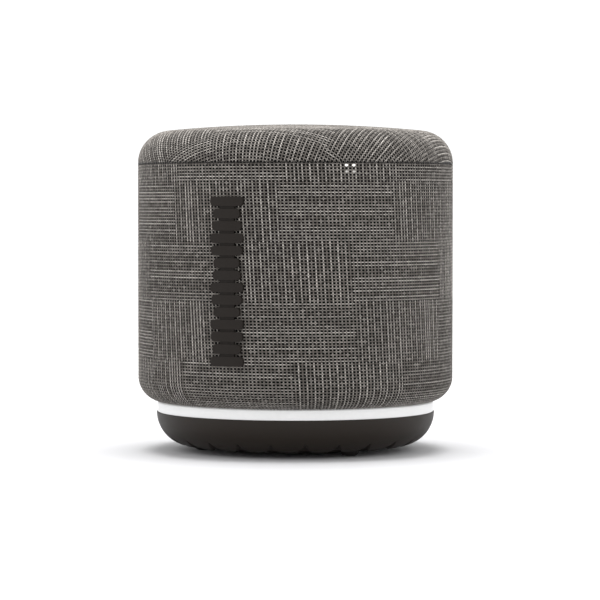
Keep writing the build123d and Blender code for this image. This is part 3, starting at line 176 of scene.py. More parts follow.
# ---- Materials -----------------------------------------------------------------------------
class Signal:
    """One output of a node. Arithmetic on it adds Math nodes."""

    def __init__(self, finish, socket):
        self.finish = finish
        self.socket = socket

    def maths(self, operation, *values):
        return self.finish.node("ShaderNodeMath", values, operation=operation)[0]

    def __add__(self, other):
        return self.maths("ADD", self, other)

    def __radd__(self, other):
        return self.maths("ADD", other, self)

    def __sub__(self, other):
        return self.maths("SUBTRACT", self, other)

    def __rsub__(self, other):
        return self.maths("SUBTRACT", other, self)

    def __mul__(self, other):
        return self.maths("MULTIPLY", self, other)

    def __rmul__(self, other):
        return self.maths("MULTIPLY", other, self)

    def __truediv__(self, other):
        return self.maths("DIVIDE", self, other)

    def __pow__(self, other):
        return self.maths("POWER", self, other)

    def __gt__(self, other):
        return self.maths("GREATER_THAN", self, other)

    def __lt__(self, other):
        return self.maths("LESS_THAN", self, other)

    def __abs__(self):
        return self.maths("ABSOLUTE", self)

    def floor(self):
        return self.maths("FLOOR", self)

    def cosine(self):
        return self.maths("COSINE", self)

    def part(self):
        """What is left over the whole number below."""
        return self - self.floor()

    def most(self, other):
        return self.maths("MAXIMUM", self, other)

    def ramp(self, low, high):
        """From 0 at low to 1 at high, smooth at both ends."""
        values = {"Value": self, "From Min": low, "From Max": high}
        return self.finish.node("ShaderNodeMapRange", values, interpolation_type="SMOOTHSTEP")[0]

    def scaled(self, factor):
        """A vector times a number or three."""
        factors = factor if isinstance(factor, tuple) else (factor,) * 3
        return self.finish.node("ShaderNodeVectorMath", {0: self, 1: factors}, operation="MULTIPLY")[0]

    def parts(self):
        """The three numbers of a vector."""
        return self.finish.node("ShaderNodeSeparateXYZ", {0: self})


class Finish:
    """A material under construction."""

    def __init__(self, name):
        self.material = bpy.data.materials.new(name)
        self.material.use_nodes = True
        self.tree = self.material.node_tree
        self.tree.nodes.clear()

    def node(self, kind, values=None, stops=None, **settings):
        """Adds a node: its settings first, then its sockets' values or links. Gives its outputs."""
        made = self.tree.nodes.new(kind)
        for name, setting in settings.items():
            setattr(made, name, setting)
        if stops:
            for place, tint in stops[2:]:
                made.color_ramp.elements.new(place)
            for element, (place, tint) in zip(made.color_ramp.elements, stops):
                element.position = place
                element.color = (*tint, 1)
        pairs = values.items() if isinstance(values, dict) else enumerate(values or ())
        for key, value in pairs:
            if isinstance(value, Signal):
                self.tree.links.new(value.socket, made.inputs[key])
            else:
                made.inputs[key].default_value = value
        return [Signal(self, output) for output in made.outputs]

    def place(self):
        """Object coordinates in millimetres."""
        return self.node("ShaderNodeTexCoord")[3].scaled(1 / MM)

    def noise(self, vector, scale, detail=2.0):
        """Soft noise between 0 and 1."""
        values = {"Vector": vector, "Scale": scale, "Detail": detail}
        return self.node("ShaderNodeTexNoise", values)[0]

    def dice(self, first, second=0.0, third=0.0):
        """A random number for each set of whole numbers."""
        vector = self.node("ShaderNodeCombineXYZ", [first, second, third])[0]
        return self.node("ShaderNodeTexWhiteNoise", {"Vector": vector}, noise_dimensions="3D")[0]

    def mix(self, factor, first, second, mode="MIX"):
        """Two colours mixed."""
        tints = [tint if isinstance(tint, Signal) else (*tint, 1) for tint in (first, second)]
        values = {0: factor, 6: tints[0], 7: tints[1]}
        return self.node("ShaderNodeMix", values, data_type="RGBA", blend_type=mode)[2]

    def shade(self, tint, amount):
        """A colour times a brightness."""
        values = {0: amount, 1: amount, 2: amount}
        grey = self.node("ShaderNodeCombineColor", values)[0]
        return self.mix(1.0, tint, grey, "MULTIPLY")

    def close(self, tint, roughness, height=None, depth=0.1, **constants):
        """Ends the material in one shader. Height and depth are in millimetres."""
        values = {"Base Color": tint if isinstance(tint, Signal) else (*tint, 1), "Roughness": roughness}
        values.update({name.replace("_", " "): value for name, value in constants.items()})
        if height is not None:
            bump = {"Height": height, "Distance": depth * MM, "Strength": 1.0}
            values["Normal"] = self.node("ShaderNodeBump", bump)[0]
        shader = self.node("ShaderNodeBsdfPrincipled", values)[0]
        self.node("ShaderNodeOutputMaterial", {"Surface": shader})
        return self.material


def cloth_finish(name, shifts, first_row, parity, lamp=None):
    """Mesh cloth in patches, with pale threads upright in one patch and level in the next.

    shifts holds one sideways shift for each row of patches. Coordinates are counted in holes."""
    sizes = bpy.context.scene.speaker_cloth
    finish = Finish(name)
    across, down, _ = finish.node("ShaderNodeUVMap", uv_map="Cloth")[0].parts()
    wave = finish.place()
    stray = finish.noise(wave, 0.35)
    patch_row = ((down - first_row) / sizes.patch_rows).floor()
    shift = shifts[0]
    if len(shifts) > 1:
        steps = [(patch_row > row - 1.5) * (shifts[row] - shifts[row - 1]) for row in range(1, len(shifts))]
        shift = sum(steps, start=shifts[0])
    patch_column = ((across - shift) / sizes.patch_columns).floor()
    side = ((patch_column + patch_row + parity) / 2).part() * 2
    upright = 1 - side

    column, row = across.floor(), down.floor()
    in_column, in_row = across.part(), down.part()
    from_hole_x, from_hole_y = 0.5 - abs(in_column - 0.5), 0.5 - abs(in_row - 0.5)
    hole_width = 0.36 + 0.07 * finish.dice((across + 0.5).floor(), (down + 0.5).floor())
    radius = ((from_hole_x / hole_width) ** 2 + (from_hole_y / 0.40) ** 2) ** 0.5
    open_hole = 1 - radius.ramp(0.82, 1.10)

    every_other = ((column + patch_column) / 2).part() * 2
    luck = finish.dice(column, patch_column, patch_row)
    pale_column = (every_other * (0.55 + 0.45 * luck)).most(0.8 * luck.ramp(0.78, 0.92))
    level_luck = finish.dice(row, patch_column + 40, patch_row)
    pale_row = level_luck.ramp(0.10, 0.70) * (0.55 + 0.45 * finish.dice(row, patch_column, patch_row + 9))

    bead_x = 0.52 + 0.48 * (in_column * TURN).cosine()
    bead_y = 0.52 + 0.48 * (in_row * TURN).cosine()
    core_x = 1 - abs(in_column - 0.5).ramp(0.10, 0.34)
    core_y = 1 - abs(in_row - 0.5).ramp(0.12, 0.38)
    upright_pale = upright * pale_column * core_x * bead_y
    level_pale = side * pale_row * core_y * bead_x
    melange = finish.dice(column, row, 3.0)
    strand = 0.08 + 0.42 * finish.dice(row, column, 7.0) ** 2
    crossing = strand * (core_x * bead_y).most(core_y * bead_x)
    pale = (upright_pale.most(level_pale) * (0.76 + 0.24 * melange)).most(crossing)

    fibre = 0.78 + 0.36 * melange + 0.30 * (finish.noise(wave, 3.2, 3.0) - 0.5) + 0.35 * (stray - 0.5)
    yarn = finish.mix(pale, tuple(sizes.yarn), tuple(sizes.pale))
    thread = finish.shade(yarn, fibre)
    # Painted shade in the seam: within about half a millimetre of the seam's height the cloth's colour is
    # darkened down to 0.3, on both covers.
    seam = abs(wave.parts()[2] - SLEEVE_HIGH.z / MM).ramp(0.15, 0.60)
    # The holes are painted near-black: partly the dark inside's own colour, partly painted shade inside the
    # drum.
    tint = finish.shade(finish.mix(open_hole, thread, tuple(sizes.hole)), 0.3 + 0.7 * seam)
    round_x = 1 - abs(in_column - 0.5) * 2
    round_y = 1 - abs(in_row - 0.5) * 2
    twist = 0.12 * finish.noise(wave, 9.0, 2.0)
    height = round_x.most(round_y) * (1 - open_hole) + twist + 0.15 * pale
    glow = {}
    # Painted light of the status lamp: the four holes over it glow with emitted light, the lower pair dimmer,
    # standing in for the lamp behind the cloth.
    if lamp is not None:
        beside, below = across - lamp[0], down - lamp[1]
        near = ((abs(beside) - 1) ** 2 + (abs(below) - 1) ** 2) ** 0.5
        lit = (1 - near.ramp(0.22, 0.46)) * (1 - 0.72 * (below > 0))
        glow = {"Emission_Color": finish.shade((1.0, 0.98, 0.94), lit), "Emission_Strength": 2.2}
    return finish.close(tint, 0.86 + 0.1 * melange, height, 0.16, Sheen_Weight=0.12, Sheen_Roughness=0.4,
                        Specular_IOR_Level=0.1, **glow)


def rubber_finish(name, tint, roughness=0.55, grain=0.012):
    """Moulded rubber with a fine even grain and faint handling marks."""
    finish = Finish(name)
    place = finish.place()
    grains = finish.noise(place, 5.0, 3.0)
    marks = finish.noise(place, 0.09, 4.0)
    shown = finish.shade(tuple(tint), 0.90 + 0.2 * marks + 0.10 * (grains - 0.5))
    rough = roughness + 0.16 * (marks - 0.5) + 0.10 * (grains - 0.5)
    return finish.close(shown, rough, grains, grain, Specular_IOR_Level=0.19)


def plastic_finish(name, tint, roughness=0.5, grain=0.01):
    """Moulded plastic with spark-eroded texture."""
    finish = Finish(name)
    place = finish.place()
    grains = finish.noise(place, 8.0, 2.0)
    flow = finish.noise(place, 0.05, 2.0)
    shown = finish.shade(tuple(tint), 0.92 + 0.16 * flow)
    return finish.close(shown, roughness + 0.12 * (grains - 0.5), grains, grain)


def metal_finish(name, tint, roughness=0.35, grain=0.006):
    """Turned or pressed metal with fine streaks."""
    finish = Finish(name)
    place = finish.place()
    streaks = finish.noise(place.scaled((0.6, 0.6, 9.0)), 1.5, 3.0)
    stains = finish.noise(place, 0.12, 3.0)
    shown = finish.shade(tuple(tint), 0.85 + 0.15 * streaks + 0.15 * (stains - 0.5))
    return finish.close(shown, roughness + 0.2 * (streaks - 0.5), streaks, grain, Metallic=1.0)


def board_finish(name, tint, roughness=0.35, grain=0.02):
    """Solder mask over copper tracks, with tinned pads."""
    finish = Finish(name)
    place = finish.place()
    x, y, z = place.parts()
    track = ((x * 0.8 + z * 0.8).part() < 0.28) * (finish.noise(place, 0.12) > 0.52)
    cross = ((y * 0.7).part() < 0.25) * (finish.noise(place, 0.10) < 0.44)
    copper = track.most(cross)
    cell = [(axis * 0.55).floor() for axis in (x, y, z)]
    pad_x, pad_y = (x * 0.55).part() - 0.5, (y * 0.55).part() - 0.5
    pad = ((pad_x ** 2 + pad_y ** 2) < 0.05) * (finish.dice(*cell) > 0.82)
    mask = finish.mix(copper, tuple(tint), tuple(min(1, 2.1 * part) for part in tint))
    shown = finish.mix(pad, mask, (0.62, 0.60, 0.55))
    return finish.close(shown, roughness - 0.08 * pad, copper.most(pad), grain)


def paper_finish(name, tint, roughness=0.85, grain=0.05):
    """Pressed fibres."""
    finish = Finish(name)
    place = finish.place()
    fibres = finish.noise(place.scaled((1.0, 1.0, 3.0)), 1.6, 5.0)
    shown = finish.shade(tuple(tint), 0.75 + 0.5 * fibres)
    return finish.close(shown, roughness, fibres, grain)


def foam_finish(name, tint, roughness=0.95, grain=0.12):
    """Open-celled foam."""
    finish = Finish(name)
    cells = finish.node("ShaderNodeTexVoronoi", {"Vector": finish.place(), "Scale": 2.4})[0]
    shown = finish.shade(tuple(tint), 0.6 + 0.7 * cells)
    return finish.close(shown, roughness, cells, grain)


def winding_finish(name, tint, roughness=0.3, grain=0.04):
    """Enamelled wire wound in level turns."""
    finish = Finish(name)
    height = finish.place().parts()[2]
    turns = 1 - abs((height * 5.5).part() - 0.5) * 2
    shown = finish.shade(tuple(tint), 0.55 + 0.5 * turns)
    return finish.close(shown, roughness, turns, grain, Metallic=1.0)


def clear_finish(name, tint, roughness=0.08, grain=0.004):
    """Clear moulded plastic."""
    finish = Finish(name)
    haze = finish.noise(finish.place(), 0.6, 2.0)
    shown = finish.shade(tuple(tint), 0.9 + 0.1 * haze)
    return finish.close(shown, roughness + 0.08 * haze, haze, grain, Transmission_Weight=0.7, IOR=1.49)


def lamp_finish(name, tint, roughness=0.3, grain=0.01):
    """A small white lamp with its pale window."""
    finish = Finish(name)
    grains = finish.noise(finish.place(), 2.0)
    shown = finish.shade(tuple(tint), 0.85 + 0.2 * grains)
    return finish.close(shown, roughness, grains, grain, Emission_Color=(1.0, 0.97, 0.9, 1),
                        Emission_Strength=0.6)


def glow_finish(name, tint, strength):
    """Milky diffuser lit from inside, a little dimmer between the lamps and at its lower edge. Along its upper
    edge it carries painted shade from the cloth above.
    """
    finish = Finish(name)
    x, y, z = finish.place().parts()
    low, high = RING_LOW.z / MM, RING_HIGH.z / MM
    level = (z - low) / (high - low)
    # Painted shade: the glow is cut by a tenth along the upper edge, under the cloth; the lower edge is a
    # little dimmer as well.
    edges = 1 - 0.10 * level.ramp(0.62, 1.0) - 0.05 * (1 - level.ramp(0.0, 0.3))
    lamps = 0.5 + 0.5 * (16 * x.maths("ARCTAN2", y, x)).cosine()
    lit = finish.shade((1.0, 1.0, 1.0), edges * (0.975 + 0.025 * lamps))
    haze = finish.noise(finish.place(), 0.8, 2.0)
    shown = finish.shade(tuple(tint), 0.42 + 0.05 * haze)
    return finish.close(shown, 0.45 + 0.1 * haze, haze, 0.01, Emission_Color=lit, Emission_Strength=strength)


def finish_of(slot):
    """The finish of a record slot, made once."""
    made = bpy.data.materials.get(f"{slot}_finish")
    if made:
        return made
    tint = {row["slot"]: row["base_color"] for row in frame["record"]["materials"]}[slot]
    makers = {
        "lamp": lamp_finish, "light_pipe": clear_finish, "circuit_board": board_finish, "coil": winding_finish,
        "cone_paper": paper_finish, "spider_cloth": paper_finish, "seal_foam": foam_finish,
        "ferrite": paper_finish,
        "switch_metal": metal_finish, "shield_metal": metal_finish, "screw_steel": metal_finish,
        "pole_steel": metal_finish, "piston_metal": metal_finish, "socket_metal": metal_finish,
        "foot_rubber": rubber_finish, "surround_rubber": rubber_finish, "wire": rubber_finish,
        "base_rubber": rubber_finish, "emblem_rubber": rubber_finish, "strip_rubber": rubber_finish,
        "button_rubber": rubber_finish,
    }
    return makers.get(slot, plastic_finish)(f"{slot}_finish", tint)


# ---- Mesh tools ----------------------------------------------------------------------------
def trace(start, heading, pieces, places):
    """Follows straight stretches and arcs, given as (length, turn), and gives points along them.

    Returns the radius, the height and the heading at each place, measured along the line."""
    knots = np.concatenate([[0], np.cumsum([run for run, _ in pieces])])
    turned = heading + np.concatenate([[0], np.cumsum([turn for _, turn in pieces])])
    fine = np.linspace(0, knots[-1], 40001)
    middle = np.interp((fine[1:] + fine[:-1]) / 2, knots, turned)
    radius = start[0] + np.concatenate([[0], np.cumsum(np.cos(middle))]) * fine[1]
    height = start[1] + np.concatenate([[0], np.cumsum(np.sin(middle))]) * fine[1]
    return np.interp(places, fine, radius), np.interp(places, fine, height), np.interp(places, knots, turned)


def cloth_mesh(name, points, quads, cells, bake):
    """A cloth piece from its points, its quads, and each corner's cloth and bake coordinates."""
    used, quads = np.unique(quads, return_inverse=True)
    quads = quads.reshape(-1, 4)
    mesh = bpy.data.meshes.new(name)
    mesh.vertices.add(len(used))
    mesh.vertices.foreach_set("co", points[used].astype(np.float32).ravel())
    mesh.loops.add(quads.size)
    mesh.loops.foreach_set("vertex_index", quads.astype(np.int32).ravel())
    mesh.polygons.add(len(quads))
    mesh.polygons.foreach_set("loop_start", np.arange(0, quads.size, 4, dtype=np.int32))
    mesh.update(calc_edges=True)
    for title, values in (("Cloth", cells), ("OFBake", bake)):
        layer = mesh.uv_layers.new(name=title)
        layer.uv.foreach_set("vector", values.astype(np.float32).ravel())
    mesh.shade_smooth()
    piece = bpy.data.objects.new(name, mesh)
    bpy.context.scene.collection.objects.link(piece)
    return piece


def corners_of(values):
    """The four corners' values of each quad of a grid, down and then across."""
    return np.stack([values[:-1, :-1], values[1:, :-1], values[1:, 1:], values[:-1, 1:]], axis=2)


def dimples(across, down):
    """How far each vertex is sunk: holes at every second one both ways."""
    hole = (across % 2 == 0) & (down % 2 == 0)
    between = (across % 2 == 0) ^ (down % 2 == 0)
    return np.where(hole, 1.0, np.where(between, 0.22, 0.0))


def select_none():
    """Nothing selected and no edit mode."""
    if bpy.context.object and bpy.context.object.mode != "OBJECT":
        bpy.ops.object.mode_set(mode="OBJECT")
    bpy.ops.object.select_all(action="DESELECT")


def hold(piece):
    """Makes a piece the only selected one."""
    select_none()
    piece.select_set(True)
    bpy.context.view_layer.objects.active = piece
    return piece


def added(operator, **places):
    """Adds a primitive and gives its object, with its place in its mesh."""
    select_none()
    operator(**places)
    bpy.ops.object.transform_apply(location=True, rotation=True, scale=True)
    return bpy.context.object


def rod(radius, depth, place, vertices=48, turn=(0, 0, 0)):
    """A plain cylinder, upright unless it is turned."""
    return added(bpy.ops.mesh.primitive_cylinder_add, vertices=vertices, radius=radius, depth=depth,
                 location=place, rotation=turn)


def edit(piece, mode="EDGE"):
    """Opens a piece in edit mode."""
    hold(piece)
    bpy.ops.object.mode_set(mode="EDIT")
    bpy.ops.mesh.select_mode(type=mode)


def choose(kind, test):
    """In edit mode, selects the edges, faces or verts that pass a test, and nothing else."""
    bpy.ops.mesh.select_all(action="DESELECT")
    mesh = bpy.context.edit_object.data
    shape = bmesh.from_edit_mesh(mesh)
    for part in getattr(shape, kind):
        part.select_set(bool(test(part)))
    bmesh.update_edit_mesh(mesh)


def done():
    """Closes edit mode."""
    bpy.ops.object.mode_set(mode="OBJECT")


def middle_of(part):
    """The middle of an edge or a face."""
    return sum((vertex.co for vertex in part.verts), Vector()) / len(part.verts)


def joined(pieces):
    """Several objects as one."""
    hold(pieces[0])
    for piece in pieces:
        piece.select_set(True)
    if len(pieces) > 1:
        bpy.ops.object.join()
    return bpy.context.object


def applied(piece, kind, **settings):
    """Adds a modifier and applies it."""
    hold(piece)
    modifier = piece.modifiers.new("step", kind)
    for name, value in settings.items():
        setattr(modifier, name, value)
    bpy.ops.object.modifier_apply(modifier=modifier.name)
    return piece


def combined(piece, tool, operation):
    """Joins a tool to a piece, or cuts it out, and drops the tool."""
    applied(piece, "BOOLEAN", object=tool, operation=operation, solver="EXACT", use_self=True)
    bpy.data.objects.remove(tool)
    return piece


def softened(piece, width, segments=3, sharp=35):
    """Rounds every sharp edge."""
    applied(piece, "BEVEL", width=width, segments=segments, limit_method="ANGLE",
            angle_limit=math.radians(sharp), harden_normals=False)
    hold(piece)
    bpy.ops.object.shade_smooth_by_angle(angle=math.radians(40))
    return piece


def cut_across(piece, places):
    """Cuts a flat piece into upright strips, so that it can follow a curve."""
    edit(piece)
    for place in places:
        bpy.ops.mesh.select_all(action="SELECT")
        bpy.ops.mesh.bisect(plane_co=(place, 0, 0), plane_no=(1, 0, 0))
    done()
    return piece


def wrapped(piece, azimuth, radius):
    """Bends a piece drawn flat in X and Z round the drum: its -Y side points outwards."""
    for vertex in piece.data.vertices:
        turn = azimuth + vertex.co.x / radius
        out = radius - vertex.co.y
        vertex.co = (out * math.sin(turn), -out * math.cos(turn), vertex.co.z)
    return piece


def lathed(name, points, steps):
    """Spins an outline in radius and height once round the axis."""
    mesh = bpy.data.meshes.new(name)
    spots = [(radius, 0, height) for radius, height in points]
    mesh.from_pydata(spots, [(k, k + 1) for k in range(len(spots) - 1)], [])
    piece = bpy.data.objects.new(name, mesh)
    bpy.context.scene.collection.objects.link(piece)
    edit(piece, "VERT")
    bpy.ops.mesh.select_all(action="SELECT")
    bpy.ops.mesh.spin(steps=steps, angle=TURN, center=(0, 0, 0), axis=(0, 0, 1))
    bpy.ops.mesh.select_all(action="SELECT")
    bpy.ops.mesh.remove_doubles(threshold=1e-6)
    bpy.ops.mesh.normals_make_consistent(inside=False)
    done()
    return piece


def settle(piece, name, finish, body, slot, *nodes):
    """Names a finished piece, gives it its finish, hangs it on its body and hides the frame pieces it stands
    for.
    """
    piece.name = name
    piece.data.name = name
    piece.data.materials.clear()
    piece.data.materials.append(finish)
    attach(piece, body)
    if nodes:
        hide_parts(*nodes)
    return piece


# ---- Cloth covers --------------------------------------------------------------------------
class SPEAKER_OT_side_cover(Operator):
    """Weave the side cover, from the seam down to the hem under the drum"""

    bl_idname = "speaker.side_cover"
    bl_label = "Side cover"

    def execute(self, context):
        sizes = context.scene.speaker_cloth
        columns, row, roll = sizes.columns, sizes.row, sizes.roll
        top, bottom = SLEEVE_HIGH.z, SLEEVE_LOW.z
        upright = top - roll - bottom - sizes.corner
        pieces = [
            (sizes.tuck, 0), (math.pi * roll, -math.pi), (upright, 0), (QUARTER * sizes.corner, -QUARTER),
            (DRUM - sizes.corner - sizes.hem - roll, 0), (QUARTER * roll, -QUARTER), (sizes.tuck, 0),
        ]
        total = sum(run for run, _ in pieces)
        before_side = sizes.tuck + math.pi * roll
        first = math.ceil((roll - before_side) / row)
        down = np.arange(2 * first, int(2 * (total - before_side + roll) / row) + 1)
        places = np.clip(down / 2 * row + before_side - roll, 0, total)
        radius, height, heading = trace((DRUM - 2 * roll, top - roll - sizes.tuck), QUARTER, pieces, places)
        across = np.arange(-columns, columns + 1)
        azimuth = across / columns * math.pi
        slope = math.tan(sizes.lean) * row / DRUM
        middle_row = (top - bottom) / row / 2
        leaning = (down / 2 - middle_row) * slope

        rough = np.random.default_rng(7)
        sink = dimples(across[None, :], down[:, None]) * sizes.dimple
        sink = sink + rough.normal(0, sizes.unevenness, sink.shape) * 0.6
        sink[:, [0, -1]] = sizes.dimple
        stray = rough.normal(0, sizes.unevenness, sink.shape)
        sink[:, -1], stray[:, -1] = sink[:, 0], stray[:, 0]
        turn = azimuth[None, :] + leaning[:, None] + stray / DRUM
        out = radius[:, None] - sink * -np.sin(heading)[:, None]
        level = height[:, None] - sink * np.cos(heading)[:, None]

        body = context.scene.speaker_body
        half = body.strip_width / 2 + 0.1 * MM
        straight = (PANEL_HIGH.z - PANEL_LOW.z) / 2 - body.strip_flange - body.strip_width / 2
        strip_middle = (PANEL_HIGH.z + PANEL_LOW.z) / 2
        behind = np.cos(turn) < 0
        side = np.where(behind, out * np.sin(turn), 1.0)
        rise = level - strip_middle
        over = np.sign(rise) * np.maximum(np.abs(rise) - straight, 0)
        reach = np.hypot(side, over)
        edge = np.abs(reach - half) < 0.42 * MM
        pull = np.where(edge, half / reach, 1.0)
        side = side * pull
        level = np.where(edge, level + over * (pull - 1), level)
        turn = np.where(edge, np.sign(side) * (math.pi - np.arcsin(np.clip(np.abs(side) / out, 0, 1))), turn)
        inside = np.where(edge, half, reach) <= half + 1e-9

        points = np.stack([out * np.sin(turn), -out * np.cos(turn), level], axis=2)
        index = np.arange(points.shape[0] * points.shape[1]).reshape(points.shape[:2])
        index[:, -1] = index[:, 0]
        cells = np.stack(np.broadcast_arrays(across[None, :] / 2, down[:, None] / 2), axis=2)
        spare = 0.004
        scale = (0.5 - 2 * spare) / total
        strip = np.where(across[:-1] < 0, 0, 1)
        bake_v = corners_of(np.broadcast_to(places[:, None] * scale, index.shape)[..., None])[..., 0]
        bake_u = corners_of(np.broadcast_to(azimuth[None, :] * DRUM * scale, index.shape)[..., None])[..., 0]
        bake_u = bake_u + spare + (1 - strip)[None, :, None] * math.pi * DRUM * scale
        bake_v = bake_v + spare + strip[None, :, None] * 0.5
        keep = ~corners_of(inside[..., None])[..., 0].all(axis=2)
        quads = corners_of(index[..., None])[..., 0]
        bake = np.stack([bake_u, bake_v], axis=3)
        cells = corners_of(cells)[keep]
        piece = cloth_mesh("side_cover", points.reshape(-1, 3), quads[keep], cells, bake[keep])
        lamp_turn = math.atan2((PIPE_LOW.x + PIPE_HIGH.x) / 2, -(PIPE_LOW.y + PIPE_HIGH.y) / 2)
        lamp_row = round((top - PIPE_LOW.z) / 2 / row)
        lamp_turn -= (lamp_row - middle_row) * slope
        lamp = (round(lamp_turn / TURN * columns), lamp_row)
        finish = cloth_finish("side_cloth_finish", (-1, -3, -16, -16, -2), 6, 1, lamp)
        settle(piece, "side_cover", finish, "root", "side_cloth", "fabric_sleeve")
        return {"FINISHED"}


class SPEAKER_OT_top_cover(Operator):
    """Stretch the top cover over the dome, with its threads turned from the front"""

    bl_idname = "speaker.top_cover"
    bl_label = "Top cover"

    def execute(self, context):
        sizes = context.scene.speaker_cloth
        corner, roll, row = sizes.cap_corner, sizes.roll, sizes.row
        column = TURN * DRUM / sizes.columns
        flat = DRUM - corner
        rise = CAP_HIGH.z - CAP_LOW.z
        dome = (flat ** 2 + (rise - corner) ** 2) / (2 * (rise - corner)) + corner
        lean = math.asin(flat / (dome - corner))
        straight = 0.1 * MM
        pieces = [
            (dome * lean, -lean), (corner * (QUARTER - lean), lean - QUARTER), (straight, 0),
            (math.pi * roll, -math.pi), (sizes.tuck, 0),
        ]
        edge = dome * lean + corner * (QUARTER - lean)
        total = sum(run for run, _ in pieces)
        reach = int(2 * edge / min(row, column)) + 3
        across = np.arange(-reach, reach + 1)[None, :]
        down = np.arange(-reach, reach + 1)[:, None]
        turn = sizes.top_turn
        east = across / 2 * column * math.cos(turn) + down / 2 * row * math.sin(turn)
        north = -across / 2 * column * math.sin(turn) + down / 2 * row * math.cos(turn)
        far = np.hypot(east, north)
        at_edge = np.abs(far - edge) < 0.30 * MM
        pull = np.where(at_edge, edge / np.maximum(far, MM), 1.0)
        east, north, far = east * pull, north * pull, far * pull
        inside = far <= edge + 1e-9
        keep = corners_of(inside[..., None])[..., 0].all(axis=2)

        def placed(far_out, toward_east, toward_north, sink):
            radius, height, heading = trace((0, CAP_HIGH.z), 0, pieces, np.clip(far_out, 0, total))
            out = radius + sink * np.sin(heading)
            level = height - sink * np.cos(heading)
            return np.stack([out * toward_east, out * toward_north, level], axis=-1)

        rough = np.random.default_rng(11)
        sink = dimples(across, down) * sizes.dimple + rough.normal(0, sizes.unevenness, far.shape) * 0.6
        sink = np.where(at_edge, 0.1 * MM, sink)
        safe = np.maximum(far, 1e-9)
        points = placed(far, east / safe, north / safe, sink)
        index = np.arange(far.size).reshape(far.shape)
        quads = corners_of(index[..., None])[..., 0][..., ::-1]
        cells = np.stack(np.broadcast_arrays(across / 2, down / 2), axis=2)
        spread = 0.495 / total
        bake = np.stack([0.5 + east * spread, 0.5 + north * spread], axis=2)
        quads = quads[keep]
        cells, bake = [corners_of(values)[:, :, ::-1][keep] for values in (cells, bake)]

        loose = np.concatenate([quads[:, [k, (k + 1) % 4]] for k in range(4)])
        corners = np.concatenate([cells[:, [k, (k + 1) % 4]] for k in range(4)])
        codes = np.sort(loose, axis=1) @ np.array([far.size, 1])
        _, first, times = np.unique(codes, return_index=True, return_counts=True)
        rim = first[times == 1]
        rims, rim_cells = loose[rim], corners[rim]
        flat_east, flat_north, safe_far = east.ravel(), north.ravel(), safe.ravel()
        steps = np.linspace(edge, total, 10)
        all_points, all_quads, all_cells, all_bake = [points.reshape(-1, 3)], [quads], [cells], [bake]
        names = index.ravel().copy()
        for step in range(1, len(steps)):
            new = placed(np.full(far.size, steps[step]), flat_east / safe_far, flat_north / safe_far, 0.0)
            all_points.append(new)
            outer = names + far.size
            hem = [names[rims[:, 1]], names[rims[:, 0]], outer[rims[:, 0]], outer[rims[:, 1]]]
            all_quads.append(np.stack(hem, axis=1))
            near, past = [steps[k] / safe_far for k in (step - 1, step)]
            ends = [(rims[:, 1], near), (rims[:, 0], near), (rims[:, 0], past), (rims[:, 1], past)]
            right, left = rim_cells[:, 1], rim_cells[:, 0]
            cell_ends = [(right, 0), (left, 0), (left, 1), (right, 1)]
            grown = [spot * (steps[step - 1 + late] / edge) for spot, late in cell_ends]
            all_cells.append(np.stack(grown, axis=1))
            spots = [np.stack([flat_east[who] * grow[who], flat_north[who] * grow[who]], axis=1)
                     for who, grow in ends]
            all_bake.append(0.5 + np.stack(spots, axis=1) * spread)
            names = outer
        piece = cloth_mesh("top_cover", np.concatenate(all_points), np.concatenate(all_quads),
                           np.concatenate(all_cells), np.concatenate(all_bake))
        finish = cloth_finish("top_cloth_finish", (-10,), -47, 1)
        settle(piece, "top_cover", finish, "root", "top_cloth", "top_fabric")
        2 * total
        2 * total
        math.pi * total ** 2
        return {"FINISHED"}


# ---- Base, ring and feet -------------------------------------------------------------------
def lobe_sink(azimuth, climb, inset, body):
    """How far the underside is set back: below the lobes' scalloped edge, and in the notches."""
    pitch = TURN / body.lobes
    notch = np.abs(((azimuth - body.lobe_first) / pitch) % 1 * 2 - 1)
    edge = body.lobe_low + (body.lobe_high - body.lobe_low) * notch ** 1.8
    below = np.clip((edge - climb) / math.radians(8.0), 0, 1)
    smooth = below * below * (3 - 2 * below)
    fade = np.clip(1 - inset / (2.5 * MM), 0, 1)
    return body.lobe_depth * smooth * fade


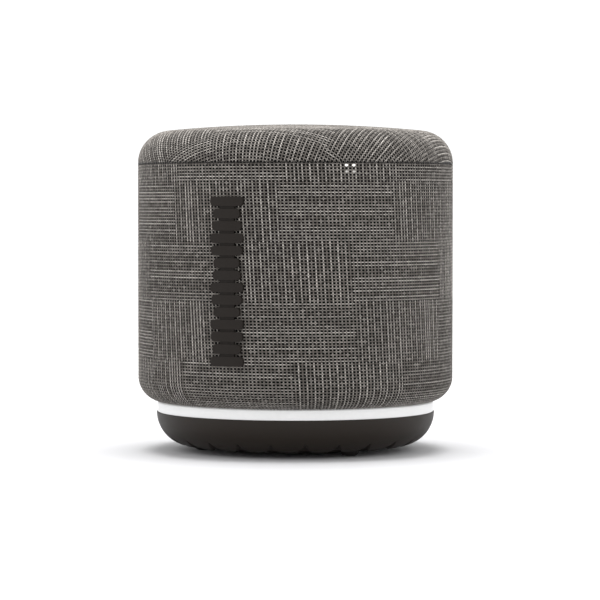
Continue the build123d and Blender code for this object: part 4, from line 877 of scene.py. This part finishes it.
class SPEAKER_OT_base(Operator):
    """Turn the rubber base and press the lobes into its underside"""

    bl_idname = "speaker.base"
    bl_label = "Base"

    def execute(self, context):
        body = context.scene.speaker_body
        radius, low = BASE_HIGH.x, BASE_LOW.z
        rim = RING_LOW.z
        corner, wall = body.corner, body.wall
        steps = body.lobes * 28
        hub = radius - corner - 3 * MM
        soft = 0.4 * MM
        inner = corner - wall
        pieces = [
            (radius - corner - hub, 0), (QUARTER * corner, QUARTER), (rim - low - corner - soft, 0),
            (QUARTER * soft, QUARTER), (wall - 2 * soft, 0), (QUARTER * soft, QUARTER),
            (rim - low - corner - soft, 0), (QUARTER * inner, -QUARTER), (radius - corner - hub, 0),
        ]
        knots = np.cumsum([0] + [run for run, _ in pieces])
        shares = (7, 46, 2, 4, 3, 4, 2, 12, 3)
        stretches = zip(knots, knots[1:], shares)
        places = np.concatenate([np.linspace(a, b, n, endpoint=False) for a, b, n in stretches])
        out, level, _ = trace((hub, low), 0, pieces, np.append(places, knots[-1]))
        shell = lathed("base", list(zip(out, level)), steps)
        spots = np.empty(len(shell.data.vertices) * 3)
        shell.data.vertices.foreach_get("co", spots)
        spots = spots.reshape(-1, 3)
        far = np.hypot(spots[:, 0], spots[:, 1])
        azimuth = np.arctan2(spots[:, 0], -spots[:, 1])
        centre_out, centre_up = radius - corner, low + corner
        climb = np.arctan2(far - centre_out, centre_up - spots[:, 2])
        outside = np.hypot(np.maximum(far - centre_out, 0), centre_up - spots[:, 2]) > corner - 0.3 * MM
        outside &= spots[:, 2] < centre_up
        climb = np.maximum(climb, 0)
        sink = np.where(outside, lobe_sink(azimuth, climb, np.maximum(centre_out - far, 0), body), 0)
        grow = -sink * np.sin(climb) / far
        spots[:, 0] += spots[:, 0] * grow
        spots[:, 1] += spots[:, 1] * grow
        spots[:, 2] += sink * np.cos(climb)
        shell.data.vertices.foreach_set("co", spots.ravel())

        floor = rod(hub, wall, (0, 0, low + wall / 2), steps, (0, 0, QUARTER))
        wells = []
        for foot in FEET:
            first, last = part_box(foot)
            place = ((first.x + last.x) / 2, (first.y + last.y) / 2, low)
            wells.append(rod(body.foot_well, 2 * MM, place))
        reach = max(math.hypot(v.co.x, v.co.y) for v in frame["nodes"]["base_screws"].data.vertices) - 2.3 * MM
        foot_low, foot_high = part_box(FEET[0])
        start = math.atan2(foot_low.x + foot_high.x, -(foot_low.y + foot_high.y)) + math.pi / 3
        for k in range(3):
            turn = start + TURN * k / 3
            place = (reach * math.sin(turn), -reach * math.cos(turn), low + wall / 2)
            wells.append(rod(body.screw_well, 3 * wall, place))
        combined(floor, joined(wells), "DIFFERENCE")
        edit(floor, "FACE")
        choose("faces", lambda face: all(abs(v.co.xy.length - hub) < 1e-5 for v in face.verts))
        bpy.ops.mesh.delete(type="FACE")
        done()
        piece = joined([shell, floor])
        edit(piece, "VERT")
        bpy.ops.mesh.select_all(action="SELECT")
        bpy.ops.mesh.remove_doubles(threshold=2e-5)
        bpy.ops.mesh.normals_make_consistent(inside=False)
        done()
        hold(piece)
        bpy.ops.object.shade_smooth_by_angle(angle=math.radians(50))
        finish = rubber_finish("base_rubber_finish", body.rubber, 0.50, 0.010)
        settle(piece, "base", finish, "root", "base_rubber", "base_bowl")
        return {"FINISHED"}


class SPEAKER_OT_light_ring(Operator):
    """Turn the milky light ring with its inner flange"""

    bl_idname = "speaker.light_ring"
    bl_label = "Light ring"

    def execute(self, context):
        body = context.scene.speaker_body
        soft = 0.25 * MM
        out, low, high = RING_HIGH.x, RING_LOW.z, RING_HIGH.z
        inner = out - body.band
        flange = inner - body.ledge
        under = high - 1.5 * MM
        turned = [(soft * math.sin(k * QUARTER / 4), soft * (1 - math.cos(k * QUARTER / 4))) for k in range(5)]
        points = [(inner, low)] + [(out - soft + a, low + b) for a, b in turned]
        points += [(out - soft + a, high - b) for a, b in reversed(turned)]
        points += [(flange, high), (flange, under), (inner, under), (inner, low)]
        piece = lathed("ring", points, 256)
        hold(piece)
        bpy.ops.object.shade_smooth_by_angle(angle=math.radians(40))
        finish = glow_finish("ring_diffuser_finish", (0.9, 0.9, 0.9), body.glow)
        settle(piece, "glow_ring", finish, "root", "ring_diffuser", "light_ring")
        return {"FINISHED"}


class SPEAKER_OT_feet(Operator):
    """Shape one domed rubber foot and set a copy of it on each stem"""

    bl_idname = "speaker.feet"
    bl_label = "Feet"

    def execute(self, context):
        low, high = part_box(FEET[0])
        radius = (high.x - low.x) / 2
        seat = BASE_LOW.z + 0.98 * MM
        model = rod(radius, seat, (0, 0, seat / 2), 64)
        edit(model)
        choose("edges", lambda edge: all(v.co.z < 1e-6 for v in edge.verts))
        bpy.ops.mesh.bevel(offset=1.5 * MM, segments=8, profile=0.5, affect="EDGES")
        bpy.ops.mesh.select_mode(type="FACE")
        choose("faces", lambda face: face.normal.z > 0.9 and middle_of(face).z > seat - 1e-6)
        bpy.ops.mesh.inset(thickness=radius - 1.3 * MM)
        for rise, grow in ((1.62 * MM, 1.0), (0.0, 1.34), (0.5 * MM, 1.0), (0.8 * MM, 0.55)):
            bpy.ops.mesh.extrude_region_move(TRANSFORM_OT_translate={"value": (0, 0, rise)})
            bpy.ops.transform.resize(value=(grow, grow, 1))
        done()
        hold(model)
        bpy.ops.object.shade_smooth_by_angle(angle=math.radians(40))
        finish = finish_of("foot_rubber")
        for number, node in enumerate(FEET):
            first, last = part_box(node)
            copy = bpy.data.objects.new(f"foot_{number + 1}", model.data.copy())
            context.scene.collection.objects.link(copy)
            copy.data.transform(Matrix.Translation(((first.x + last.x) / 2, (first.y + last.y) / 2, 0)))
            settle(copy, f"foot_{number + 1}", finish, "root", "foot_rubber", node)
        bpy.data.objects.remove(model)
        return {"FINISHED"}


# ---- Emblem and rear strip -----------------------------------------------------------------
def slab(width, height, front, back, round_corner, x=0.0, z=0.0):
    """A flat plate with rounded corners, drawn in X and Z. Front and back are measured outwards."""
    piece = added(bpy.ops.mesh.primitive_cube_add, size=1, location=(x, -(front + back) / 2, z),
                  scale=(width, front - back, height))
    if round_corner > 0:
        edit(piece)
        choose("edges", lambda edge: abs(edge.verts[0].co.y - edge.verts[1].co.y) > (front - back) / 2)
        bpy.ops.mesh.bevel(offset=round_corner, segments=10, profile=0.5, affect="EDGES")
        done()
    return piece


class SPEAKER_OT_emblem(Operator):
    """Build the raised sound-wave emblem from rounded bars on a spine"""

    bl_idname = "speaker.emblem"
    bl_label = "Emblem"

    def execute(self, context):
        body = context.scene.speaker_body
        widths = (12.2, 10.4, 11.8, 12.2, 9.6, 11.2, 12.2, 10.2, 9.4, 11.6, 12.2, 10.8, 9.8, 12.2)
        middle = (EMBLEM_LOW.z + EMBLEM_HIGH.z) / 2
        pitch = (EMBLEM_HIGH.z - EMBLEM_LOW.z - body.bar) / (len(widths) - 1)
        reach = pitch * (len(widths) - 1) / 2
        back = -0.25 * MM
        start = middle - reach
        bars = [slab(width * MM, body.bar, body.raise_bars, back, body.bar_round, 0, start + k * pitch)
                for k, width in enumerate(widths)]
        spine = slab(body.spine, 2 * reach, body.raise_spine, back, 0)
        spine.data.transform(Matrix.Translation((0, 0, middle)))
        piece = combined(joined(bars), spine, "UNION")
        softened(piece, 0.38 * MM, 4)
        cut_across(piece, [k * 1.15 * MM for k in range(-5, 6)])
        azimuth = math.atan2((EMBLEM_LOW.x + EMBLEM_HIGH.x) / 2, -(EMBLEM_LOW.y + EMBLEM_HIGH.y) / 2)
        wrapped(piece, azimuth, DRUM)
        finish = rubber_finish("emblem_rubber_finish", body.trim, 0.62, 0.008)
        settle(piece, "emblem", finish, "root", "emblem_rubber", "front_emblem")
        return {"FINISHED"}


class SPEAKER_OT_rear_strip(Operator):
    """Build the rear strip with its key holes and charging port"""

    bl_idname = "speaker.rear_strip"
    bl_label = "Rear strip"

    def execute(self, context):
        body = context.scene.speaker_body
        middle = (PANEL_LOW.z + PANEL_HIGH.z) / 2
        height = PANEL_HIGH.z - PANEL_LOW.z - 2 * body.strip_flange
        piece = slab(body.strip_width, height, body.strip_proud, -4.0 * MM, body.strip_width / 2 - 0.01 * MM)
        piece.data.transform(Matrix.Translation((0, 0, middle)))
        tools = []
        hole = body.key_radius + body.key_gap
        for key in KEYS:
            low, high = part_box(key)
            tools.append(rod(hole, 20 * MM, (0, 0, (low.z + high.z) / 2), 72, LEVEL))
        low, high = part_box("usb_socket")
        port = slab(high.x - low.x + 0.5 * MM, high.z - low.z + 0.5 * MM, 9 * MM, -9 * MM,
                    (high.z - low.z) / 2 + 0.24 * MM)
        port.data.transform(Matrix.Translation((0, 0, (low.z + high.z) / 2)))
        combined(piece, joined(tools + [port]), "DIFFERENCE")
        softened(piece, 0.28 * MM, 3)
        cut_across(piece, [k * 1.4 * MM for k in range(-6, 7)])
        wrapped(piece, math.pi, DRUM)
        finish = rubber_finish("strip_rubber_finish", body.trim, 0.60, 0.010)
        settle(piece, "rear_strip", finish, "root", "strip_rubber", "rear_panel")
        return {"FINISHED"}


def mark(width, height, x=0.0, z=0.0):
    """One raised stroke of a key's sign."""
    return slab(width, height, 0.22 * MM, -0.4 * MM, min(width, height) * 0.45, x, z)


def ring_mark(radius, width, start, sweep, x=0.0, z=0.0):
    """A raised arc of a key's sign."""
    piece = added(bpy.ops.mesh.primitive_plane_add, size=1)
    piece.data.transform(Matrix.Diagonal((width, 0.62 * MM, 1, 1)))
    piece.data.transform(Matrix.Translation((radius, 0.09 * MM, 0)))
    edit(piece, "FACE")
    bpy.ops.mesh.select_all(action="SELECT")
    bpy.ops.mesh.spin(steps=24, angle=sweep, center=(0, 0, 0), axis=(0, -1, 0))
    bpy.ops.mesh.select_all(action="SELECT")
    bpy.ops.mesh.remove_doubles(threshold=1e-6)
    bpy.ops.mesh.normals_make_consistent(inside=False)
    done()
    piece.data.transform(Matrix.Translation((x, 0, z)) @ Matrix.Rotation(-start, 4, "Y"))
    return piece


def key_marks(key):
    """The generic sign on a key: power, minus, voice, plus or a crossed-out microphone."""
    stroke = 0.55 * MM
    if key == "power_button":
        circle = ring_mark(1.35 * MM, stroke, math.radians(125), math.radians(290))
        return [circle, mark(stroke, 1.5 * MM, 0, 1.2 * MM)]
    if key == "volume_down_button":
        return [mark(3.0 * MM, stroke)]
    if key == "volume_up_button":
        return [mark(3.0 * MM, stroke), mark(stroke, 3.0 * MM)]
    if key == "voice_button":
        bars = ((-1.5, 1.1), (-0.5, 2.8), (0.5, 1.9), (1.5, 1.0))
        return [mark(stroke, size * MM, place * MM) for place, size in bars]
    slash = mark(stroke, 4.4 * MM)
    slash.data.transform(Matrix.Rotation(math.radians(42), 4, "Y"))
    capsule, stem = mark(1.1 * MM, 2.1 * MM, 0, 0.5 * MM), mark(0.4 * MM, 0.9 * MM, 0, -1.3 * MM)
    cradle = ring_mark(1.15 * MM, 0.4 * MM, math.pi, math.pi, 0, 0.2 * MM)
    return [capsule, cradle, stem, slash]


class SPEAKER_OT_keys(Operator):
    """Shape the five rear keys, each with a dished face and its own raised sign"""

    bl_idname = "speaker.keys"
    bl_label = "Keys"

    def execute(self, context):
        body = context.scene.speaker_body
        finish = finish_of("button_rubber")
        for key in KEYS:
            low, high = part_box(key)
            front = high.y - 0.12 * MM
            depth = 5.0 * MM
            cap = rod(body.key_radius, depth, (0, depth / 2, 0), 72, LEVEL)
            edit(cap)
            choose("edges", lambda edge: all(v.co.y < 1e-6 for v in edge.verts))
            bpy.ops.mesh.bevel(offset=0.45 * MM, segments=5, profile=0.5, affect="EDGES")
            bpy.ops.mesh.select_mode(type="FACE")
            choose("faces", lambda face: face.normal.y < -0.9 and middle_of(face).y < 1e-6
                   and len(face.verts) > 8)
            for step in range(4):
                bpy.ops.mesh.inset(thickness=0.45 * MM, depth=-(0.10 - 0.025 * step) * MM)
            done()
            piece = joined([cap] + key_marks(key))
            piece.data.transform(Matrix.Translation((0, -front, (low.z + high.z) / 2)))
            piece.data.transform(Matrix.Rotation(math.pi, 4, "Z"))
            hold(piece)
            bpy.ops.object.shade_smooth_by_angle(angle=math.radians(40))
            name = key.replace("_button", "_key")
            settle(piece, name, finish, key, "button_rubber", key)
        return {"FINISHED"}


class SPEAKER_OT_inner_finishes(Operator):
    """Give every piece that is kept from the frame the finish of its slot"""

    bl_idname = "speaker.inner_finishes"
    bl_label = "Inner finishes"

    def execute(self, context):
        slots = {row["node"]: row["material_slot"] for row in frame["record"]["subparts"]}
        for name, piece in frame["nodes"].items():
            if piece.hide_render:
                continue
            for index in range(len(piece.data.materials)):
                piece.data.materials[index] = finish_of(slots[name])
        return {"FINISHED"}


# ---- Stage ---------------------------------------------------------------------------------
def area_light(name, size, power, place, aim):
    """A soft square light that looks at a point."""
    data = bpy.data.lights.new(name, "AREA")
    data.shape = "RECTANGLE"
    data.size, data.size_y = size
    data.energy = power
    light = bpy.data.objects.new(name, data)
    light.location = place
    light.rotation_euler = (Vector(aim) - Vector(place)).to_track_quat("-Z", "Y").to_euler()
    bpy.context.scene.collection.objects.link(light)
    return light


class SPEAKER_OT_stage(Operator):
    """Set up the floor, the lights, the surround and the camera"""

    bl_idname = "speaker.stage"
    bl_label = "Stage"

    def execute(self, context):
        sizes = context.scene.speaker_stage
        floor = added(bpy.ops.mesh.primitive_plane_add, size=12, location=(0, 0, 0))
        floor.name = "floor"
        finish = Finish("floor_finish")
        x, y, _ = finish.place().parts()
        # Painted shadow: the floor is darker round the speaker and turns to the far floor's colour between
        # 0.11 m and 0.9 m out.
        away = ((x ** 2 + y ** 2) ** 0.5).ramp(110, 900)
        mottle = finish.noise(finish.place(), 0.004, 2.0)
        tint = finish.shade(finish.mix(away, tuple(sizes.floor), tuple(sizes.far_floor)), 0.99 + 0.02 * mottle)
        floor.data.materials.append(finish.close(tint, 0.7, Specular_IOR_Level=0.1))
        world = bpy.data.worlds.new("surround")
        context.scene.world = world
        world.use_nodes = True
        background = world.node_tree.nodes["Background"]
        background.inputs["Color"].default_value = (1, 1, 1, 1)
        background.inputs["Strength"].default_value = sizes.sky
        middle = (0, 0, DRUM)
        area_light("front_light", (0.9, 0.5), sizes.key_light, (0.1, -1.1, 0.35), middle)
        area_light("top_light", (0.5, 0.5), sizes.top_light, (0, 0.05, 0.7), middle)
        for name, way in (("left_light", -1), ("right_light", 1)):
            area_light(name, (0.4, 0.5), sizes.side_light, (0.9 * way, -0.15, 0.3), middle)
        data = bpy.data.cameras.new("camera")
        data.lens = sizes.lens
        data.sensor_width = 36
        data.clip_start, data.clip_end = 0.01, 50
        camera = bpy.data.objects.new("camera", data)
        camera.location = (0, -sizes.distance, sizes.height)
        yaw = -math.atan2(sizes.aside, sizes.distance)
        camera.rotation_euler = (QUARTER - sizes.pitch, 0, yaw)
        context.scene.collection.objects.link(camera)
        context.scene.camera = camera
        context.scene.view_settings.view_transform = "Standard"
        return {"FINISHED"}


class SPEAKER_PT_pieces(Panel):
    """Lists the speaker's pieces in the sidebar"""

    bl_label = "Speaker"
    bl_space_type = "VIEW_3D"
    bl_region_type = "UI"
    bl_category = "Speaker"

    def draw(self, context):
        for operator in OPERATORS:
            self.layout.operator(operator.bl_idname)


OPERATORS = (
    SPEAKER_OT_side_cover, SPEAKER_OT_top_cover, SPEAKER_OT_base, SPEAKER_OT_light_ring, SPEAKER_OT_feet,
    SPEAKER_OT_emblem, SPEAKER_OT_rear_strip, SPEAKER_OT_keys, SPEAKER_OT_inner_finishes, SPEAKER_OT_stage,
)
GROUPS = {"speaker_cloth": SpeakerCloth, "speaker_body": SpeakerBody, "speaker_stage": SpeakerStage}


def register():
    """Registers the property groups, the operators and the panel."""
    for name, group in GROUPS.items():
        bpy.utils.register_class(group)
        setattr(bpy.types.Scene, name, PointerProperty(type=group))
    for operator in OPERATORS:
        bpy.utils.register_class(operator)
    bpy.utils.register_class(SPEAKER_PT_pieces)


def unregister():
    """Takes all of it back."""
    bpy.utils.unregister_class(SPEAKER_PT_pieces)
    for operator in reversed(OPERATORS):
        bpy.utils.unregister_class(operator)
    for name, group in GROUPS.items():
        delattr(bpy.types.Scene, name)
        bpy.utils.unregister_class(group)


def main():
    """Builds everything in order."""
    register()
    for operator in OPERATORS:
        group, name = operator.bl_idname.split(".")
        getattr(getattr(bpy.ops, group), name)()
    bpy.context.view_layer.update()


if __name__ == "__main__":
    main()
